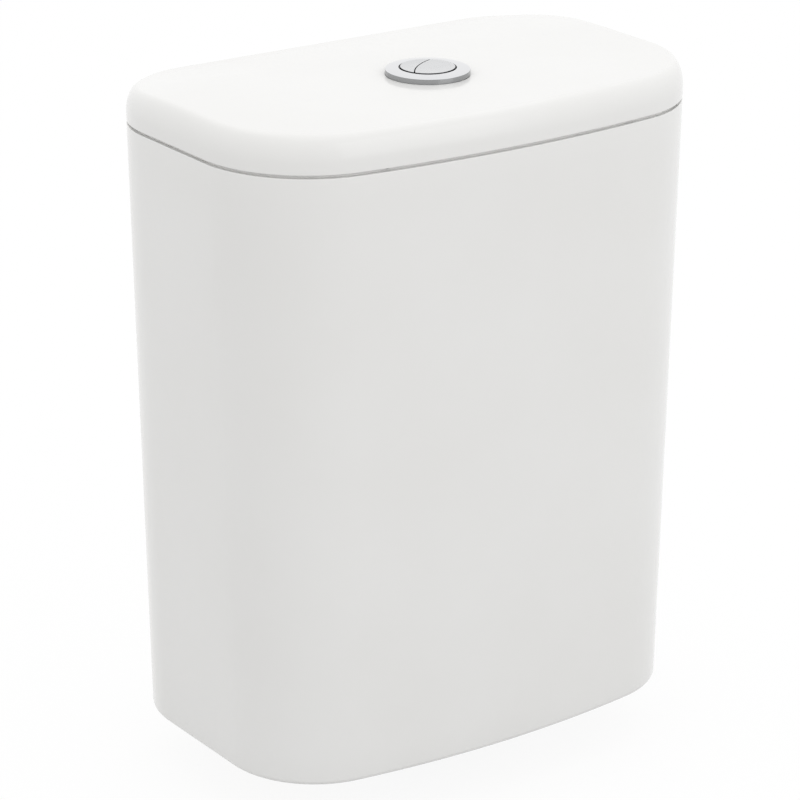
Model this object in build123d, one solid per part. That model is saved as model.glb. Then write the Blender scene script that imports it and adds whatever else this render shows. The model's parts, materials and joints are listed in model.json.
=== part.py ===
from build123d import *
import os
from math import atan2, cos, degrees, radians, sin, sqrt

# A close-coupled toilet cistern of vitreous china, with a dual flush valve worked by two buttons in the lid
# and a fill valve that enters from below. Millimetres. The origin is on the underside plane at the outlet's
# axis, with +X to the right seen from the front, -Y to the front, +Y to the wall and +Z up.

# Gaps between pieces
moving_gap = 0.3        # between pieces that move past or rest on each other
guide_gap = 0.4         # radial, where a tube or float slides in its guide
pivot_gap = 0.08        # radial, between a pin and the lever that turns on it
thread_gap = 0.1        # radial, between pieces that screw or push together
overrun = 1.0           # a cutter reaches this far past the face that it opens

# Tank: slip-cast shell with a flat back, straight sides and a bowed front, leaning in towards the foot
cistern_width = 360.0
cistern_depth = 225.0
wall_to_outlet = 127.0
tank_height = 417.0
front_bow = 19.3
front_corner_r = 74.0
back_corner_r = 66.0
side_lean = 10.6
front_lean = 3.5
tank_wall = 9.0
tank_floor = 12.0
cove_r = 8.0
foot_round = 4.0
rim_round = 2.0
edge_shares = (0, 0.5, 1)   # of a quarter turn, where a rounded edge of the shell has its rings
recess_depth = 4.0
recess_end = 22.0           # past the axes of the two bolts
recess_width = 110.0
outlet_hole_r = 32.0
bolt_share = 5 / 12         # of the width, between the two bolts
bolt_hole_r = 7.0
inlet_share = 23 / 36       # of the half width, where the inlet stands
inlet_y = 20.0
inlet_hole_r = 12.5
inlet_spot_r = 24.0
wall_screw_spacing = 180.0
wall_screw_drop = 57.0      # below the rim
wall_screw_hole_r = 4.0
back_grind = 0.4            # the back is cast this much proud, then ground flat

# Lid: loose china lid on four rubber buffers, located by a lip inside the rim
seam_gap = 1.5
lid_edge_height = 21.8
lid_crown = 2.2
lid_crown_run = 42.0
lid_round = 17.6
lid_plate = 9.0
lid_cove = 5.0
lip_gap = 2.5
lip_thickness = 6.0
lip_drop = 7.0
lid_hole_r = 23.0
lid_seat_sink = 0.3
buffer_r = 3.2
buffer_spacing = 190.0

# Button set: chrome bezel, housing clamped through the lid, two caps split along a shallow arc
button_turn = -53.3     # degrees, from the small button to the large one seen from above
bezel_r = 27.7
bezel_height = 4.9
bezel_fall = 1.0        # from the opening to the outer edge
bezel_opening_r = 18.9
bezel_plate = 2.4
bezel_wall = 1.3
bezel_edge = 0.4
bezel_lip = 0.4
housing_outer_r = 22.0
housing_inner_r = 19.5
housing_flange_r = 26.1
housing_flange = 1.5
housing_depth = 34.0
web_thickness = 3.0
web_drain_r = 3.5
web_drain_offset = 14.0
clamp_nut_r = 30.0
clamp_nut_height = 9.0
clamp_nut_grip_r = 2.6
clamp_nut_grips = 8
clamp_washer_r = 28.5
clamp_washer = 1.5
button_r = 17.9
button_rise = 0.5       # above the bezel
button_edge = 0.4
button_plate = 2.0
button_dish = 0.7
button_split = 0.7
split_r = 52.0
split_offset = 6.3
skirt_wall = 2.0
skirt_height = 6.0
socket_wall = 1.0
socket_height = 7.0
press_travel = 6.0
press_spare = 1.2           # left between a pressed button's skirt and the web
rod_r = 3.0
rod_offset = 11.5
spring_wire = 0.7
spring_r = 4.9
spring_gap = 0.15        # above and below the coil
spring_turns = 5
spring_sides = 12         # straight pieces in each turn

# Flush valve: base through the floor, cage over the seat, tower that carries the rockers
base_flange_r = 40.0
base_flange = 4.0
base_seal = 3.0
base_seal_inner_r = 30.5
outlet_bore_r = 25.0
outlet_throat_r = 24.0
outlet_thread_r = 29.5
outlet_spigot_r = 29.0
outlet_spigot = 8.0
outlet_tail = 32.0
seat_rise = 11.0
seat_lip = 2.5
spider_hub_r = 4.0
spider_rib = 2.5
spider_height = 5.0
spider_arms = 3
outlet_nut_r = 42.5
outlet_nut_height = 12.0
outlet_nut_lug = 4.0
outlet_nut_lugs = 6
gasket_r = 45.0
gasket_edge = 5.0
cage_r = 38.0
cage_wall = 2.5
cage_height = 91.0
cage_deck = 3.0
cage_ribs = 6
cage_rib = 9.0
cage_window_base = 10.0
cage_window_height = 54.0
tower_half = 33.0
tower_thickness = 3.0
tower_width = 18.0
tower_rung = 4.0
tower_rung_width = 9.0
tower_lower_rung_z = 170.0
tower_boss_r = 6.0

# Stem: the overflow tube that carries the outlet seal, lifted by its yoke
stem_r = 14.0
stem_bore_r = 11.5
overflow_drop = 105.0       # below the rim
seal_r = 31.0
seal_inner_r = 17.0
seal_thickness = 3.0
carrier_plate = 3.5
carrier_plate_r = 29.0
carrier_foot_r = 22.5
carrier_foot = 2.5
carrier_hub_height = 16.0
stem_float_r = 33.0
stem_float_wall = 1.5
stem_float_height = 40.0
stem_float_z = 55.0
yoke_collar_r = 16.0
yoke_collar = 4.0
yoke_drop = 20.0
yoke_post_in = 3.0
yoke_post_width = 4.0
yoke_half = 17.0
lifter_bar = 3.1
lifter_reach = 18.0
lifter_rise = 6.9
lifter_ring_r = 17.0
lifter_drop = 16.0

# Rockers: two crossing levers on one pin, each pushed by a rod on one side and lifting a bar on the other
rocker_rise = 22.0
pin_r = 2.0
rocker_thickness = 3.0
full_arm_half = 23.0
half_arm_half = 27.5
rocker_boss_r = 3.8
rocker_bar_offset = 21.0
rocker_bar_r = 2.6
rocker_toe_offset = 15.5
rocker_toe_rise = 5.0
rocker_toe_r = 1.4
rocker_toe_boss_r = 2.8
rocker_toe_inset = 7.0
pad_top = 4.0
pad_thickness = 3.0
pad_half = 8.0
pad_inner = 6.0

# Half flush float: an open-bottomed box on a rail outside the tower
rail_reach = 3.0
rail_width = 10.0
rail_base_z = 132.0
rail_spare = 24.0           # left above the float when it is up
rail_tooth = 1.0
rail_tooth_pitch = 3.0
rail_teeth = 12
half_float_length = 30.0
half_float_depth = 20.0
half_float_height = 36.0
half_float_wall = 1.5
half_float_z = 150.0
half_float_round = 4.0
half_float_stop = 4.0
half_float_travel = 12.0

# Fixing to the pan
bolt_r = 3.6            # the shank of a bolt with a rolled thread
bolt_thread_r = 3.9
bolt_length = 38.0
bolt_head_flats = 13.0
bolt_head = 5.5
cone_washer_r = 14.0
cone_washer = 4.0
cone_tip_r = 5.6
cone_reach = 6.0
plate_washer_r = 12.0
plate_washer = 1.6
outer_washer_r = 13.0
outer_washer = 3.0
pan_nut_height = 6.5

# Fill valve: threaded tail through the floor, two-part riser, head with a float arm
inlet_thread_r = 10.45
inlet_shank_r = 10.0
inlet_bore_r = 7.5
inlet_tail = 24.0
inlet_flange_r = 17.0
inlet_flange = 3.5
inlet_seal = 2.5
inlet_washer_r = 15.5
inlet_washer = 1.5
inlet_nut_flats = 30.0
inlet_nut_height = 8.0
inlet_spigot = 12.0
filter_wall = 0.9
filter_length = 28.0
riser_r = 11.0
riser_wall = 2.2
riser_inner_r = 8.4
riser_inner_wall = 2.0
riser_overlap = 42.0
riser_nut_r = 15.0
riser_nut_height = 16.0
riser_nut_grip_r = 2.2
riser_nut_grips = 8
head_drop = 92.0            # below the rim
head_r = 14.0
head_height = 18.0
head_lug = 4.0
head_lugs = 4
head_lug_r = 3.0
diaphragm_r = 12.5
diaphragm = 2.0
head_cap_r = 14.5
head_cap_height = 13.0
head_cap_edge = 2.5
head_cap_grip_r = 1.6
head_cap_grips = 12
arm_pivot_rise = 10.0
arm_pivot_x = -4.0
arm_length = 34.0
arm_angle = -14.0       # degrees, with the float down
arm_boss_r = 3.2
arm_end_r = 4.4
arm_half = 3.0
arm_pin_r = 1.5
arm_ear = 3.0
arm_ear_half_width = 4.0
arm_slot_r = 1.7
arm_slot = 4.0
float_r = 36.0
float_wall = 2.0
float_height = 66.0
float_edge = 2.0
float_sleeve_r = 11.2
float_travel = 14.0
float_spare = 23.7          # left under the head when the float is up
float_rod_r = 2.0
float_rod_pin_r = 1.2
rod_fork = 2.0
rod_fork_r = 3.5
clip_r = 5.0
clip_height = 9.0
clip_lug = 3.5

# Heights that follow from the sizes
lid_low = tank_height + seam_gap
lid_top = lid_low + lid_edge_height + lid_crown
bezel_base = lid_top - lid_seat_sink
button_shoulder_z = bezel_base + bezel_height - bezel_plate - moving_gap
button_plate_z = button_shoulder_z - button_plate
web_top = button_plate_z - skirt_height - press_travel - press_spare
bolt_spacing = cistern_width * bolt_share
inlet_x = -cistern_width / 2 * inlet_share
wall_screw_height = tank_height - wall_screw_drop
overflow_height = tank_height - overflow_drop
head_z = tank_height - head_drop
flange_low = tank_floor + base_seal
flange_top = flange_low + base_flange
seat_top = flange_top + seat_rise
cage_top = flange_top + cage_height
tower_low = cage_top
tower_inner = tower_half - tower_thickness / 2
tower_outer = tower_half + tower_thickness / 2
rocker_z = overflow_height + rocker_rise
lifter_z = rocker_z + lifter_rise
yoke_z = overflow_height - yoke_drop
lifter_ring_z = yoke_z - lifter_drop
inlet_flange_low = tank_floor + inlet_seal
inlet_flange_top = inlet_flange_low + inlet_flange
float_z = head_z - float_spare - float_travel - clip_height - float_height
riser_top_z = float_z - moving_gap - riser_nut_height
rail_top_z = half_float_z + half_float_height + half_float_travel + rail_spare
arm_pivot_z = head_z + head_height + diaphragm + head_cap_height + arm_pivot_rise
rod_x = arm_pivot_x + arm_length * cos(radians(arm_angle))
rod_pin_z = arm_pivot_z + arm_length * sin(radians(arm_angle))
valve_turn = Rot(0, 0, button_turn)
fill_place = Pos(inlet_x, inlet_y, 0)


def turned(points):
    """A body of revolution about Z from the (radius, height) points of half its section."""
    return revolve(make_face(Polyline([(r, 0, z) for r, z in points], close=True)), Axis.Z)


def ring(outer_r, inner_r, low, high):
    """A plain ring or tube between two heights."""
    return turned([(inner_r, low), (outer_r, low), (outer_r, high), (inner_r, high)])


def disc(radius, low, high):
    """A solid round between two heights."""
    return extrude(Pos(0, 0, low) * Circle(radius), amount=high - low)


def block(x, y, z):
    """A block between its pairs of planes across X, Y and Z."""
    pairs = (x, y, z)
    middle = [(low + high) / 2 for low, high in pairs]
    return Pos(*middle) * Box(*[high - low for low, high in pairs])


def across(profile, low, high):
    """A profile drawn in X and Z, carried along Y from low to high."""
    return extrude(Plane.XZ.offset(-high) * profile, amount=high - low)


def both_sides(profile, low, high):
    """The same profile carried along Y on both sides of the middle plane."""
    return across(profile, low, high) + across(profile, -high, -low)


def hex_nut(flats, bore_r, low, high):
    """A hexagon nut by its width across flats."""
    section = RegularPolygon(flats / 2, side_count=6, major_radius=False)
    if bore_r:
        section -= Circle(bore_r)
    return extrude(Pos(0, 0, low) * section, amount=high - low)


def pair_at(shape, spacing):
    """The same piece at both ends of a spacing along X, as one node."""
    return Compound(children=[Pos(side * spacing / 2, 0, 0) * shape for side in (-1, 1)])


def plan(height, inset=0.0, proud=0.0):
    """The china's outline at a height, drawn in by an inset: flat back, straight sides, bowed front."""
    share = height / tank_height
    half = cistern_width / 2 - side_lean * (1 - share)
    front = wall_to_outlet - cistern_depth + front_lean * (1 - share)
    corner = front_corner_r
    bow = (half**2 + front_bow**2) / (2 * front_bow)
    bow_y = front + bow
    corner_x = half - corner
    corner_y = bow_y - sqrt((bow - corner) ** 2 - corner_x**2)
    lean = degrees(atan2(corner_x, bow_y - corner_y))
    back_x = half - back_corner_r
    back = wall_to_outlet + proud
    back_y = back - back_corner_r
    side = half - inset
    edges = [
        CenterArc((0, bow_y), bow - inset, -90 - lean, 2 * lean),
        CenterArc((corner_x, corner_y), corner - inset, lean - 90, 90 - lean),
        Line((side, corner_y), (side, back_y)),
        CenterArc((back_x, back_y), back_corner_r - inset, 0, 90),
        Line((back_x, back - inset), (-back_x, back - inset)),
        CenterArc((-back_x, back_y), back_corner_r - inset, 90, 90),
        Line((-side, back_y), (-side, corner_y)),
        CenterArc((-corner_x, corner_y), corner - inset, 180, 90 - lean),
    ]
    return make_face(edges)


def shell_form(low, high, inset, low_round, high_round, proud=0.0):
    """The leaning form between two heights, ruled through outlines that also round its two ends."""
    rings = []
    for share in edge_shares if low_round else (1,):
        turn = radians(90 * share)
        outline = plan(low + low_round, inset + low_round * (1 - sin(turn)), proud)
        rings.append(Pos(0, 0, low + low_round * (1 - cos(turn))) * outline)
    for share in reversed(edge_shares) if high_round else (1,):
        turn = radians(90 * share)
        outline = plan(high - high_round, inset + high_round * (1 - sin(turn)), proud)
        rings.append(Pos(0, 0, high - high_round * (1 - cos(turn))) * outline)
    return loft(rings, ruled=True)


def rim_prism(inset, low, high):
    """The rim's outline, drawn in by an inset and carried straight up between two heights."""
    return extrude(Pos(0, 0, low) * plan(tank_height, inset), amount=high - low)


def tank():
    """The ceramic tank: tapered shell, recessed underside, holes for outlet, bolts, inlet and screws."""
    body = shell_form(0, tank_height, 0, foot_round, rim_round, back_grind)
    waste = (wall_to_outlet, wall_to_outlet + back_grind + overrun)
    body -= block((-cistern_width, cistern_width), waste, (-overrun, tank_height + overrun))
    body -= shell_form(tank_floor, tank_height, tank_wall, cove_r, 0)
    recess = extrude(SlotOverall(bolt_spacing + 2 * recess_end, recess_width), amount=recess_depth)
    recess += fill_place * disc(inlet_spot_r, 0, recess_depth)
    body -= recess
    body -= disc(outlet_hole_r, 0, tank_floor + overrun)
    screw_low = wall_to_outlet - tank_wall - overrun
    screw_hole = across(Circle(wall_screw_hole_r), screw_low, wall_to_outlet + overrun)
    for side in (-1, 1):
        body -= Pos(side * bolt_spacing / 2, 0, 0) * disc(bolt_hole_r, 0, tank_floor + overrun)
        body -= Pos(side * wall_screw_spacing / 2, 0, wall_screw_height) * screw_hole
    body -= fill_place * disc(inlet_hole_r, 0, tank_floor + overrun)
    return body


def lid():
    """The ceramic lid: crowned top with a wide rounding, hollow underside and a locating lip."""
    edge_top = lid_low + lid_edge_height
    slab = rim_prism(0, lid_low, edge_top)
    slab = fillet(slab.edges().group_by(Axis.Z)[-1], lid_round)
    crown_foot = Pos(0, 0, edge_top) * plan(tank_height, lid_round)
    crown_head = Pos(0, 0, lid_top) * plan(tank_height, lid_round + lid_crown_run)
    slab += loft([crown_foot, crown_head], ruled=True)
    lip_inset = tank_wall + lip_gap
    slab += rim_prism(lip_inset, lid_low - lip_drop, lid_low + overrun)
    hollow = rim_prism(lip_inset + lip_thickness, lid_low - lip_drop, lid_top - lid_plate)
    hollow = chamfer(hollow.edges().group_by(Axis.Z)[-1], lid_cove)
    slab -= hollow
    slab -= disc(lid_hole_r, lid_low, lid_top + overrun)
    slab -= disc(bezel_r + overrun, bezel_base, lid_top + overrun)
    return slab


def lid_buffers():
    """Four rubber buffers stuck on the rim, two at the front and two at the back."""
    bow = ((cistern_width / 2) ** 2 + front_bow**2) / (2 * front_bow)
    middle_r = bow - tank_wall / 2
    front_y = wall_to_outlet - cistern_depth + bow - sqrt(middle_r**2 - (buffer_spacing / 2) ** 2)
    back_y = wall_to_outlet - tank_wall / 2
    pads = []
    for side in (-1, 1):
        for y in (front_y, back_y):
            pads.append(Pos(side * buffer_spacing / 2, y, 0) * disc(buffer_r, tank_height, lid_low))
    return Compound(children=pads)


def button_bezel():
    """The chrome ring over the housing's flange: a top that falls to the outside and a straight band."""
    top = bezel_base + bezel_height
    under = top - bezel_plate
    return turned(
        [
            (bezel_opening_r, under),
            (bezel_r - bezel_wall, under),
            (bezel_r - bezel_wall, bezel_base),
            (bezel_r, bezel_base),
            (bezel_r, top - bezel_fall - bezel_edge),
            (bezel_r - bezel_edge, top - bezel_fall),
            (bezel_opening_r + bezel_lip, top),
            (bezel_opening_r, top - bezel_lip),
        ]
    )


def button_housing():
    """The housing: flange on its gasket, sleeve down through the lid, web that guides the two rods."""
    flange_top_z = bezel_base + bezel_height - bezel_plate
    body = ring(housing_flange_r, housing_inner_r, flange_top_z - housing_flange, flange_top_z)
    body += ring(housing_outer_r, housing_inner_r, bezel_base - housing_depth, flange_top_z)
    web = disc(housing_inner_r + overrun, web_top - web_thickness, web_top)
    for side in (-1, 1):
        guide = disc(rod_r + guide_gap, web_top - web_thickness, web_top)
        web -= Pos(side * rod_offset, 0, 0) * guide
        drain = disc(web_drain_r, web_top - web_thickness, web_top)
        web -= Pos(0, side * web_drain_offset, 0) * drain
    return valve_turn * (body + web)


def bezel_gasket():
    """The rubber gasket between the housing's flange and the lid."""
    high = bezel_base + bezel_height - bezel_plate - housing_flange
    return ring(housing_flange_r, housing_outer_r, bezel_base, high)


def clamp_parts():
    """The washer and the ring nut that clamp the housing from below the lid."""
    ceiling = lid_top - lid_plate
    inner_r = housing_outer_r + thread_gap
    washer = ring(clamp_washer_r, inner_r, ceiling - clamp_washer, ceiling)
    nut_top = ceiling - clamp_washer
    nut = ring(clamp_nut_r, inner_r, nut_top - clamp_nut_height, nut_top)
    notch = Pos(clamp_nut_r, 0, 0) * disc(clamp_nut_grip_r, nut_top - clamp_nut_height, nut_top)
    nut -= [turn * notch for turn in PolarLocations(0, clamp_nut_grips)]
    return washer, nut


def split_cylinder(radius, low, high):
    """The cylinder whose wall divides the small button from the large one."""
    return Pos(split_r - split_offset, 0, 0) * disc(radius, low, high)


def button_cap(is_full):
    """A button cap: dished top in the bezel, wider skirt below it, and a socket for its rod."""
    top = bezel_base + bezel_height + button_rise
    shoulder = button_shoulder_z
    plate_low = button_plate_z
    skirt_low = plate_low - skirt_height
    skirt_r = housing_inner_r - guide_gap
    body = disc(button_r, shoulder, top) + disc(skirt_r, plate_low, shoulder)
    body += ring(skirt_r, skirt_r - skirt_wall, skirt_low, plate_low)
    if is_full:
        body &= split_cylinder(split_r - button_split / 2, skirt_low, top)
    else:
        body -= split_cylinder(split_r + button_split / 2, skirt_low, top)
    body = chamfer(body.edges().group_by(Axis.Z)[-1], button_edge)
    rim = button_r - button_edge
    dish_r = (rim**2 + button_dish**2) / (2 * button_dish)
    body -= Pos(0, 0, top - button_dish + dish_r) * Sphere(dish_r)
    socket_x = rod_offset if is_full else -rod_offset
    socket_r = rod_r + thread_gap
    socket = ring(socket_r + socket_wall, socket_r, plate_low - socket_height, plate_low)
    return valve_turn * (body + Pos(socket_x, 0, 0) * socket)


def push_rod(side):
    """A push rod: screwed into its button's socket, with a round tip over the rocker's pad."""
    tip_z = rocker_z + pad_top + moving_gap + rod_r
    rod = disc(rod_r, tip_z, button_plate_z) + Pos(0, 0, tip_z) * Sphere(rod_r)
    return valve_turn * Pos(side * rod_offset, 0, 0) * rod


def return_spring(side):
    """The coil spring between the housing's web and the underside of a button's plate."""
    low = web_top + spring_gap + spring_wire / 2
    rise = button_plate_z - spring_gap - spring_wire / 2 - low
    corners = []
    for step in range(spring_turns * spring_sides + 1):
        turn = radians(360 * step / spring_sides)
        climb = rise * step / (spring_turns * spring_sides)
        corners.append((spring_r * cos(turn), spring_r * sin(turn), climb))
    path = Polyline(corners)
    section = Plane(path @ 0, z_dir=path % 0) * Rectangle(spring_wire, spring_wire)
    coil = sweep(section, path=path, transition=Transition.RIGHT)
    return valve_turn * Pos(side * rod_offset, 0, low) * coil


def flush_valve_base():
    """The valve base: threaded tail through the floor, flange on its seal, raised seat with a spider."""
    throat_low = tank_floor
    body = turned(
        [
            (outlet_bore_r, -outlet_tail),
            (outlet_spigot_r, -outlet_tail),
            (outlet_spigot_r, outlet_spigot - outlet_tail),
            (outlet_thread_r, outlet_spigot - outlet_tail),
            (outlet_thread_r, flange_low),
            (base_flange_r, flange_low),
            (base_flange_r, flange_top),
            (outlet_throat_r + seat_lip * 2, flange_top),
            (outlet_throat_r + seat_lip, seat_top),
            (outlet_throat_r, seat_top),
            (outlet_throat_r, throat_low),
            (outlet_bore_r, throat_low),
        ]
    )
    rib_x = (0, outlet_throat_r + seat_lip / 2)
    rib_y = (-spider_rib / 2, spider_rib / 2)
    rib = block(rib_x, rib_y, (throat_low, throat_low + spider_height))
    spider = disc(spider_hub_r, throat_low, throat_low + spider_height)
    spider += [turn * rib for turn in PolarLocations(0, spider_arms)]
    return body + spider


def outlet_back_nut():
    """The back nut below the floor, with grip lugs round it."""
    low = recess_depth - outlet_nut_height
    nut = ring(outlet_nut_r - outlet_nut_lug, outlet_thread_r + thread_gap, low, recess_depth)
    lug = block((0, outlet_nut_r), (-outlet_nut_lug, outlet_nut_lug), (low, recess_depth))
    lug -= disc(outlet_nut_r - outlet_nut_lug - overrun, low, recess_depth)
    return nut + [turn * lug for turn in PolarLocations(0, outlet_nut_lugs)]


def pan_gasket():
    """The foam rubber ring that seals the tail to the pan."""
    high = recess_depth - outlet_nut_height
    body = ring(gasket_r, outlet_thread_r + thread_gap, outlet_spigot - outlet_tail, high)
    outer = body.edges().filter_by(GeomType.CIRCLE).sort_by(SortBy.RADIUS)[-2:]
    return chamfer(outer, gasket_edge)


def valve_cage():
    """The cage over the seat: open windows between ribs, and a deck that guides the stem."""
    body = ring(cage_r, cage_r - cage_wall, flange_top, cage_top)
    body += ring(cage_r - cage_wall + overrun, stem_r + guide_gap, cage_top - cage_deck, cage_top)
    low = flange_top + cage_window_base
    opening = disc(cage_r + overrun, low, low + cage_window_height)
    opening -= disc(cage_r - cage_wall - overrun, low, low + cage_window_height)
    rib = block((0, cage_r + overrun), (-cage_rib / 2, cage_rib / 2), (low, low + cage_window_height))
    opening -= [turn * rib for turn in PolarLocations(0, cage_ribs)]
    return valve_turn * (body - opening)


def tower_frame():
    """The tower on the cage: two uprights joined by rungs that guide the stem, with bosses for the pin."""
    upright = make_face(
        Polyline(
            [
                (-tower_width / 2, tower_low),
                (tower_width / 2, tower_low),
                (tower_boss_r, rocker_z),
                (-tower_boss_r, rocker_z),
            ],
            close=True,
        )
    )
    upright += Pos(0, rocker_z) * Circle(tower_boss_r)
    upright -= Pos(0, rocker_z) * Circle(pin_r)
    body = both_sides(upright, tower_inner, tower_outer)
    foot = ring(cage_r, cage_r - tower_rung_width, tower_low, tower_low + tower_thickness)
    body += foot
    lifter_seat = lifter_ring_z - moving_gap - tower_rung
    for low in (tower_lower_rung_z, lifter_seat):
        half = tower_rung_width / 2
        rung = block((-half, half), (-tower_inner, tower_inner), (low, low + tower_rung))
        rung += disc(lifter_ring_r, low, low + tower_rung)
        rung -= disc(stem_r + guide_gap, low, low + tower_rung)
        body += rung
    return valve_turn * body


def rocker_pin():
    """The steel pin through the tower's bosses that both rockers turn on."""
    pin = across(Circle(pin_r), -tower_outer - thread_gap, tower_outer + thread_gap)
    return valve_turn * Pos(0, 0, rocker_z) * pin


def rocker(is_full):
    """A rocker: two arms joined by a bar with the rod's pad, and toes under the bars that it lifts."""
    arm_in = full_arm_half if is_full else half_arm_half
    arm_out = arm_in + rocker_thickness
    boss = Circle(rocker_boss_r)
    toe = Pos(-rocker_toe_offset, rocker_toe_rise) * Circle(rocker_toe_boss_r)
    bar = Pos(rocker_bar_offset, 0) * Circle(rocker_bar_r)
    arm = make_hull([*boss.edges(), *toe.edges()]) + make_hull([*boss.edges(), *bar.edges()])
    arm -= Circle(pin_r + pivot_gap)
    body = both_sides(arm, arm_in, arm_out)
    body += across(bar, -arm_in - overrun, arm_in + overrun)
    pad = block((pad_inner, rocker_bar_offset), (-pad_half, pad_half), (pad_top - pad_thickness, pad_top))
    body += pad
    peg = Pos(-rocker_toe_offset, rocker_toe_rise) * Circle(rocker_toe_r)
    body += both_sides(peg, full_arm_half - rocker_toe_inset, arm_in + overrun)
    if not is_full:
        body = Rot(0, 0, 180) * body
    return valve_turn * Pos(0, 0, rocker_z) * body


def stem_tube():
    """The stem, open at both ends, which is also the overflow."""
    return ring(stem_r, stem_bore_r, seat_top + moving_gap - carrier_foot, overflow_height)


def seal_carrier():
    """The hub at the stem's foot, whose two plates hold the outlet seal."""
    seal_low = seat_top + moving_gap
    seal_high = seal_low + seal_thickness
    hub_r = seal_inner_r
    return turned(
        [
            (stem_r + thread_gap, seal_low - carrier_foot),
            (carrier_foot_r, seal_low - carrier_foot),
            (carrier_foot_r, seal_low),
            (hub_r, seal_low),
            (hub_r, seal_high),
            (carrier_plate_r, seal_high),
            (carrier_plate_r, seal_high + carrier_plate),
            (hub_r, seal_high + carrier_plate),
            (hub_r, seal_low + carrier_hub_height),
            (stem_r + thread_gap, seal_low + carrier_hub_height),
        ]
    )


def outlet_seal():
    """The flat silicone ring that closes the seat."""
    low = seat_top + moving_gap
    return ring(seal_r, seal_inner_r, low, low + seal_thickness)


def stem_float():
    """The float on the stem: an open-bottomed cup that holds air."""
    high = stem_float_z + stem_float_height
    inner = stem_r + thread_gap
    return turned(
        [
            (inner, stem_float_z),
            (inner + stem_float_wall, stem_float_z),
            (inner + stem_float_wall, high - stem_float_wall),
            (stem_float_r - stem_float_wall, high - stem_float_wall),
            (stem_float_r - stem_float_wall, stem_float_z),
            (stem_float_r, stem_float_z),
            (stem_float_r, high),
            (inner, high),
        ]
    )


def lifter(collar_r, bore_r, low):
    """A lifter: collar round the stem, two posts beside the pin and two bars over a rocker's toes."""
    post_out = yoke_post_in + yoke_post_width
    half_out = yoke_half + yoke_post_width
    top = lifter_z + lifter_bar
    body = disc(collar_r, low, low + yoke_collar)
    body += block((yoke_post_in, post_out), (-half_out, half_out), (low, low + yoke_collar))
    body -= disc(bore_r, low, low + yoke_collar)
    for side in (-1, 1):
        y = sorted((side * yoke_half, side * half_out))
        body += block((yoke_post_in, post_out), y, (low, top))
        body += block((yoke_post_in, lifter_reach), y, (lifter_z, top))
    return body


def stem_yoke():
    """The yoke clamped on the stem, with its bars over the large button's rocker."""
    return valve_turn * Rot(0, 0, 180) * lifter(yoke_collar_r, stem_r + thread_gap, yoke_z)


def half_lifter():
    """The half flush lifter: free on the stem, resting on the upper rung, below the yoke's collar."""
    return valve_turn * lifter(lifter_ring_r, stem_r + guide_gap, lifter_ring_z)


def float_bracket():
    """The toothed rail outside the tower that the half flush float slides on."""
    face = tower_outer + rail_reach
    rail = block((-rail_width / 2, rail_width / 2), (tower_outer, face), (rail_base_z, rail_top_z))
    teeth = []
    for step in range(rail_teeth):
        low = rail_top_z - rail_tooth_pitch * (step + 1)
        for side in (-1, 1):
            x = sorted((side * rail_width / 2, side * (rail_width / 2 - rail_tooth)))
            teeth.append(block(x, (tower_outer, face), (low, low + rail_tooth_pitch / 2)))
    rail -= teeth
    stop_z = (rail_base_z, half_float_z - moving_gap)
    stop = block((-rail_width, rail_width), (tower_outer, face + half_float_stop), stop_z)
    return valve_turn * (rail + stop)


def half_float():
    """The half flush float: a box open below, with a channel that runs on the rail."""
    inner_y = tower_outer + guide_gap
    outer_y = inner_y + rail_reach + half_float_depth
    high = half_float_z + half_float_height
    half = half_float_length / 2
    body = block((-half, half), (inner_y, outer_y), (half_float_z, high))
    body = fillet(body.edges().filter_by(Axis.Z).group_by(Axis.Y)[-1], half_float_round)
    channel_half = rail_width / 2 + guide_gap
    channel_y = tower_outer + rail_reach + guide_gap
    body -= block((-channel_half, channel_half), (inner_y, channel_y), (half_float_z, high))
    wall = half_float_wall
    body -= block(
        (wall - half, half - wall),
        (channel_y + wall, outer_y - wall),
        (half_float_z, high - wall),
    )
    return valve_turn * body


def bolt_stack():
    """One fixing to the pan, from the head inside the tank to the nut below it, as separate pieces."""
    cone_top = tank_floor + cone_washer
    washer_top = cone_top + plate_washer
    outer_low = recess_depth - outer_washer
    nut_low = outer_low - pan_nut_height
    bore = bolt_thread_r + thread_gap
    cone = turned(
        [
            (bore, tank_floor - cone_reach),
            (cone_tip_r, tank_floor - cone_reach),
            (bolt_hole_r - thread_gap, tank_floor),
            (cone_washer_r, tank_floor),
            (cone_washer_r - cone_washer / 2, cone_top),
            (bore, cone_top),
        ]
    )
    bolt = disc(bolt_r, nut_low - overrun, washer_top)
    bolt += disc(bolt_thread_r, -bolt_length, nut_low - overrun)
    bolt += hex_nut(bolt_head_flats, 0, washer_top, washer_top + bolt_head)
    return {
        "pan_bolts": bolt,
        "bolt_cone_washers": cone,
        "bolt_plate_washers": ring(plate_washer_r, bore, cone_top, washer_top),
        "bolt_outer_washers": ring(outer_washer_r, bore, outer_low, recess_depth),
        "bolt_hex_nuts": hex_nut(bolt_head_flats, bolt_r + thread_gap, nut_low, outer_low),
    }


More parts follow.
